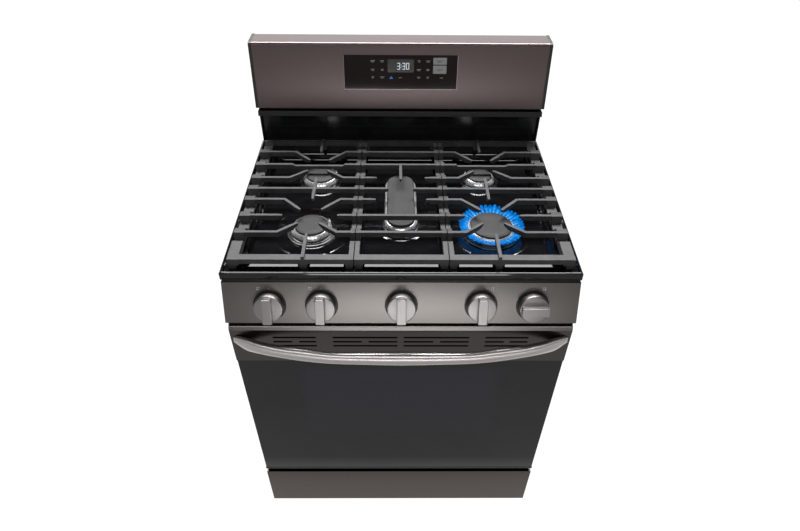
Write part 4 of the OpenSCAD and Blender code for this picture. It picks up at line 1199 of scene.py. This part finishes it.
def make_stage():
    """A plain pale floor and sky, soft boxes of light and a faint glow inside the oven."""
    bm = bmesh.new()
    reach = 6000
    add_box(bm, (-reach, -reach, -20), (reach, reach, -0.2))
    floor = finish_mesh("floor", bm, floor_material())
    scene = bpy.context.scene
    scene.view_settings.view_transform = "Standard"
    make_sky(scene)
    area_light("top_box", (0, 1.35, 3.35), (0, 0.1, 0.9), (3.0, 0.9), 265)
    area_light("key_box", (0, -2.3, 3.0), (0, -0.2, 0.9), (2.4, 0.45), 30)
    area_light("back_box", (0, 3.3, 2.35), (0, 0, 1.0), (3.4, 0.8), 20)
    area_light("panel_box", (0.035, -1.2, 0.76), (0.01, -0.3, 0.87), (0.74, 0.12), 1.7)
    area_light("oven_glow", (0, -0.02, 0.74), (0, 0, 0.3), (0.4, 0.3), 0.7, (0.82, 0.82, 1.0))


def make_sky(scene):
    """A plain studio sky: pale at the horizon, dark overhead."""
    world = bpy.data.worlds.new("studio")
    scene.world = world
    world.use_nodes = True
    tree = world.node_tree
    coords = tree.nodes.new("ShaderNodeTexCoord")
    split = tree.nodes.new("ShaderNodeSeparateXYZ")
    ramp = tree.nodes.new("ShaderNodeValToRGB")
    tree.links.new(coords.outputs["Generated"], split.inputs["Vector"])
    tree.links.new(split.outputs["Z"], ramp.inputs["Fac"])
    stops = ((0.0, 0.45), (0.12, 0.35), (0.34, 0.1), (0.46, 0.02))
    elements = ramp.color_ramp.elements
    for element, (position, level) in zip(elements, (stops[0], stops[-1])):
        element.position, element.color = position, (level, level, level, 1)
    for position, level in stops[1:-1]:
        elements.new(position).color = (level, level, level, 1)
    tree.links.new(ramp.outputs["Color"], tree.nodes["Background"].inputs["Color"])


def floor_material():
    """A white studio floor that falls off to grey in front of the range."""
    s = Shader("floor_white")
    cloud = s.noise(2, detail=2)
    s.join(s.ramp(cloud, [(0.3, [0.03] * 3), (0.7, [0.034] * 3)]), s.bsdf.inputs["Base Color"])
    s.set(roughness=0.95, specular=0.1)
    split = s.add("ShaderNodeSeparateXYZ")
    s.join(s.coords, split.inputs["Vector"])
    s.join(s.range(split.outputs["Y"], 0.38, 1.03, -0.47, -0.39), s.bsdf.inputs["Emission Strength"])
    s.bsdf.inputs["Emission Color"].default_value = (1, 1, 1, 1)
    return s.material


def make_camera():
    """The viewing angle: above the rim and in front, looking down at the cooktop."""
    yaw, pitch, roll = 0.0129, 0.7259, 0.0108
    level = math.cos(pitch)
    forward = Vector((math.sin(yaw) * level, math.cos(yaw) * level, -math.sin(pitch)))
    right = Vector((math.cos(yaw), -math.sin(yaw), 0))
    up = right.cross(forward)
    turned_right = math.cos(roll) * right + math.sin(roll) * up
    turned_up = -math.sin(roll) * right + math.cos(roll) * up
    data = bpy.data.cameras.new("camera")
    data.sensor_width = 36
    data.lens = 26.607
    camera = bpy.data.objects.new("camera", data)
    bpy.context.scene.collection.objects.link(camera)
    place = (COOKTOP @ Vector((-15.18, -906.55, 826.59))) * MM
    axes = Matrix((turned_right, turned_up, -forward)).transposed().to_4x4()
    camera.matrix_world = Matrix.Translation(place) @ axes
    bpy.context.scene.camera = camera


make_camera()
dress_cad_nodes()
make_cooktop()
make_burners()
make_side_grate(1, "grate_right")
make_side_grate(-1, "grate_left")
make_center_grate()
for index in range(len(KNOB_X)):
    make_knob(index)
make_handle()
make_gap_shadow_strip()
make_glass_edge()
make_control_marks()
make_panel_marks()
make_stage()
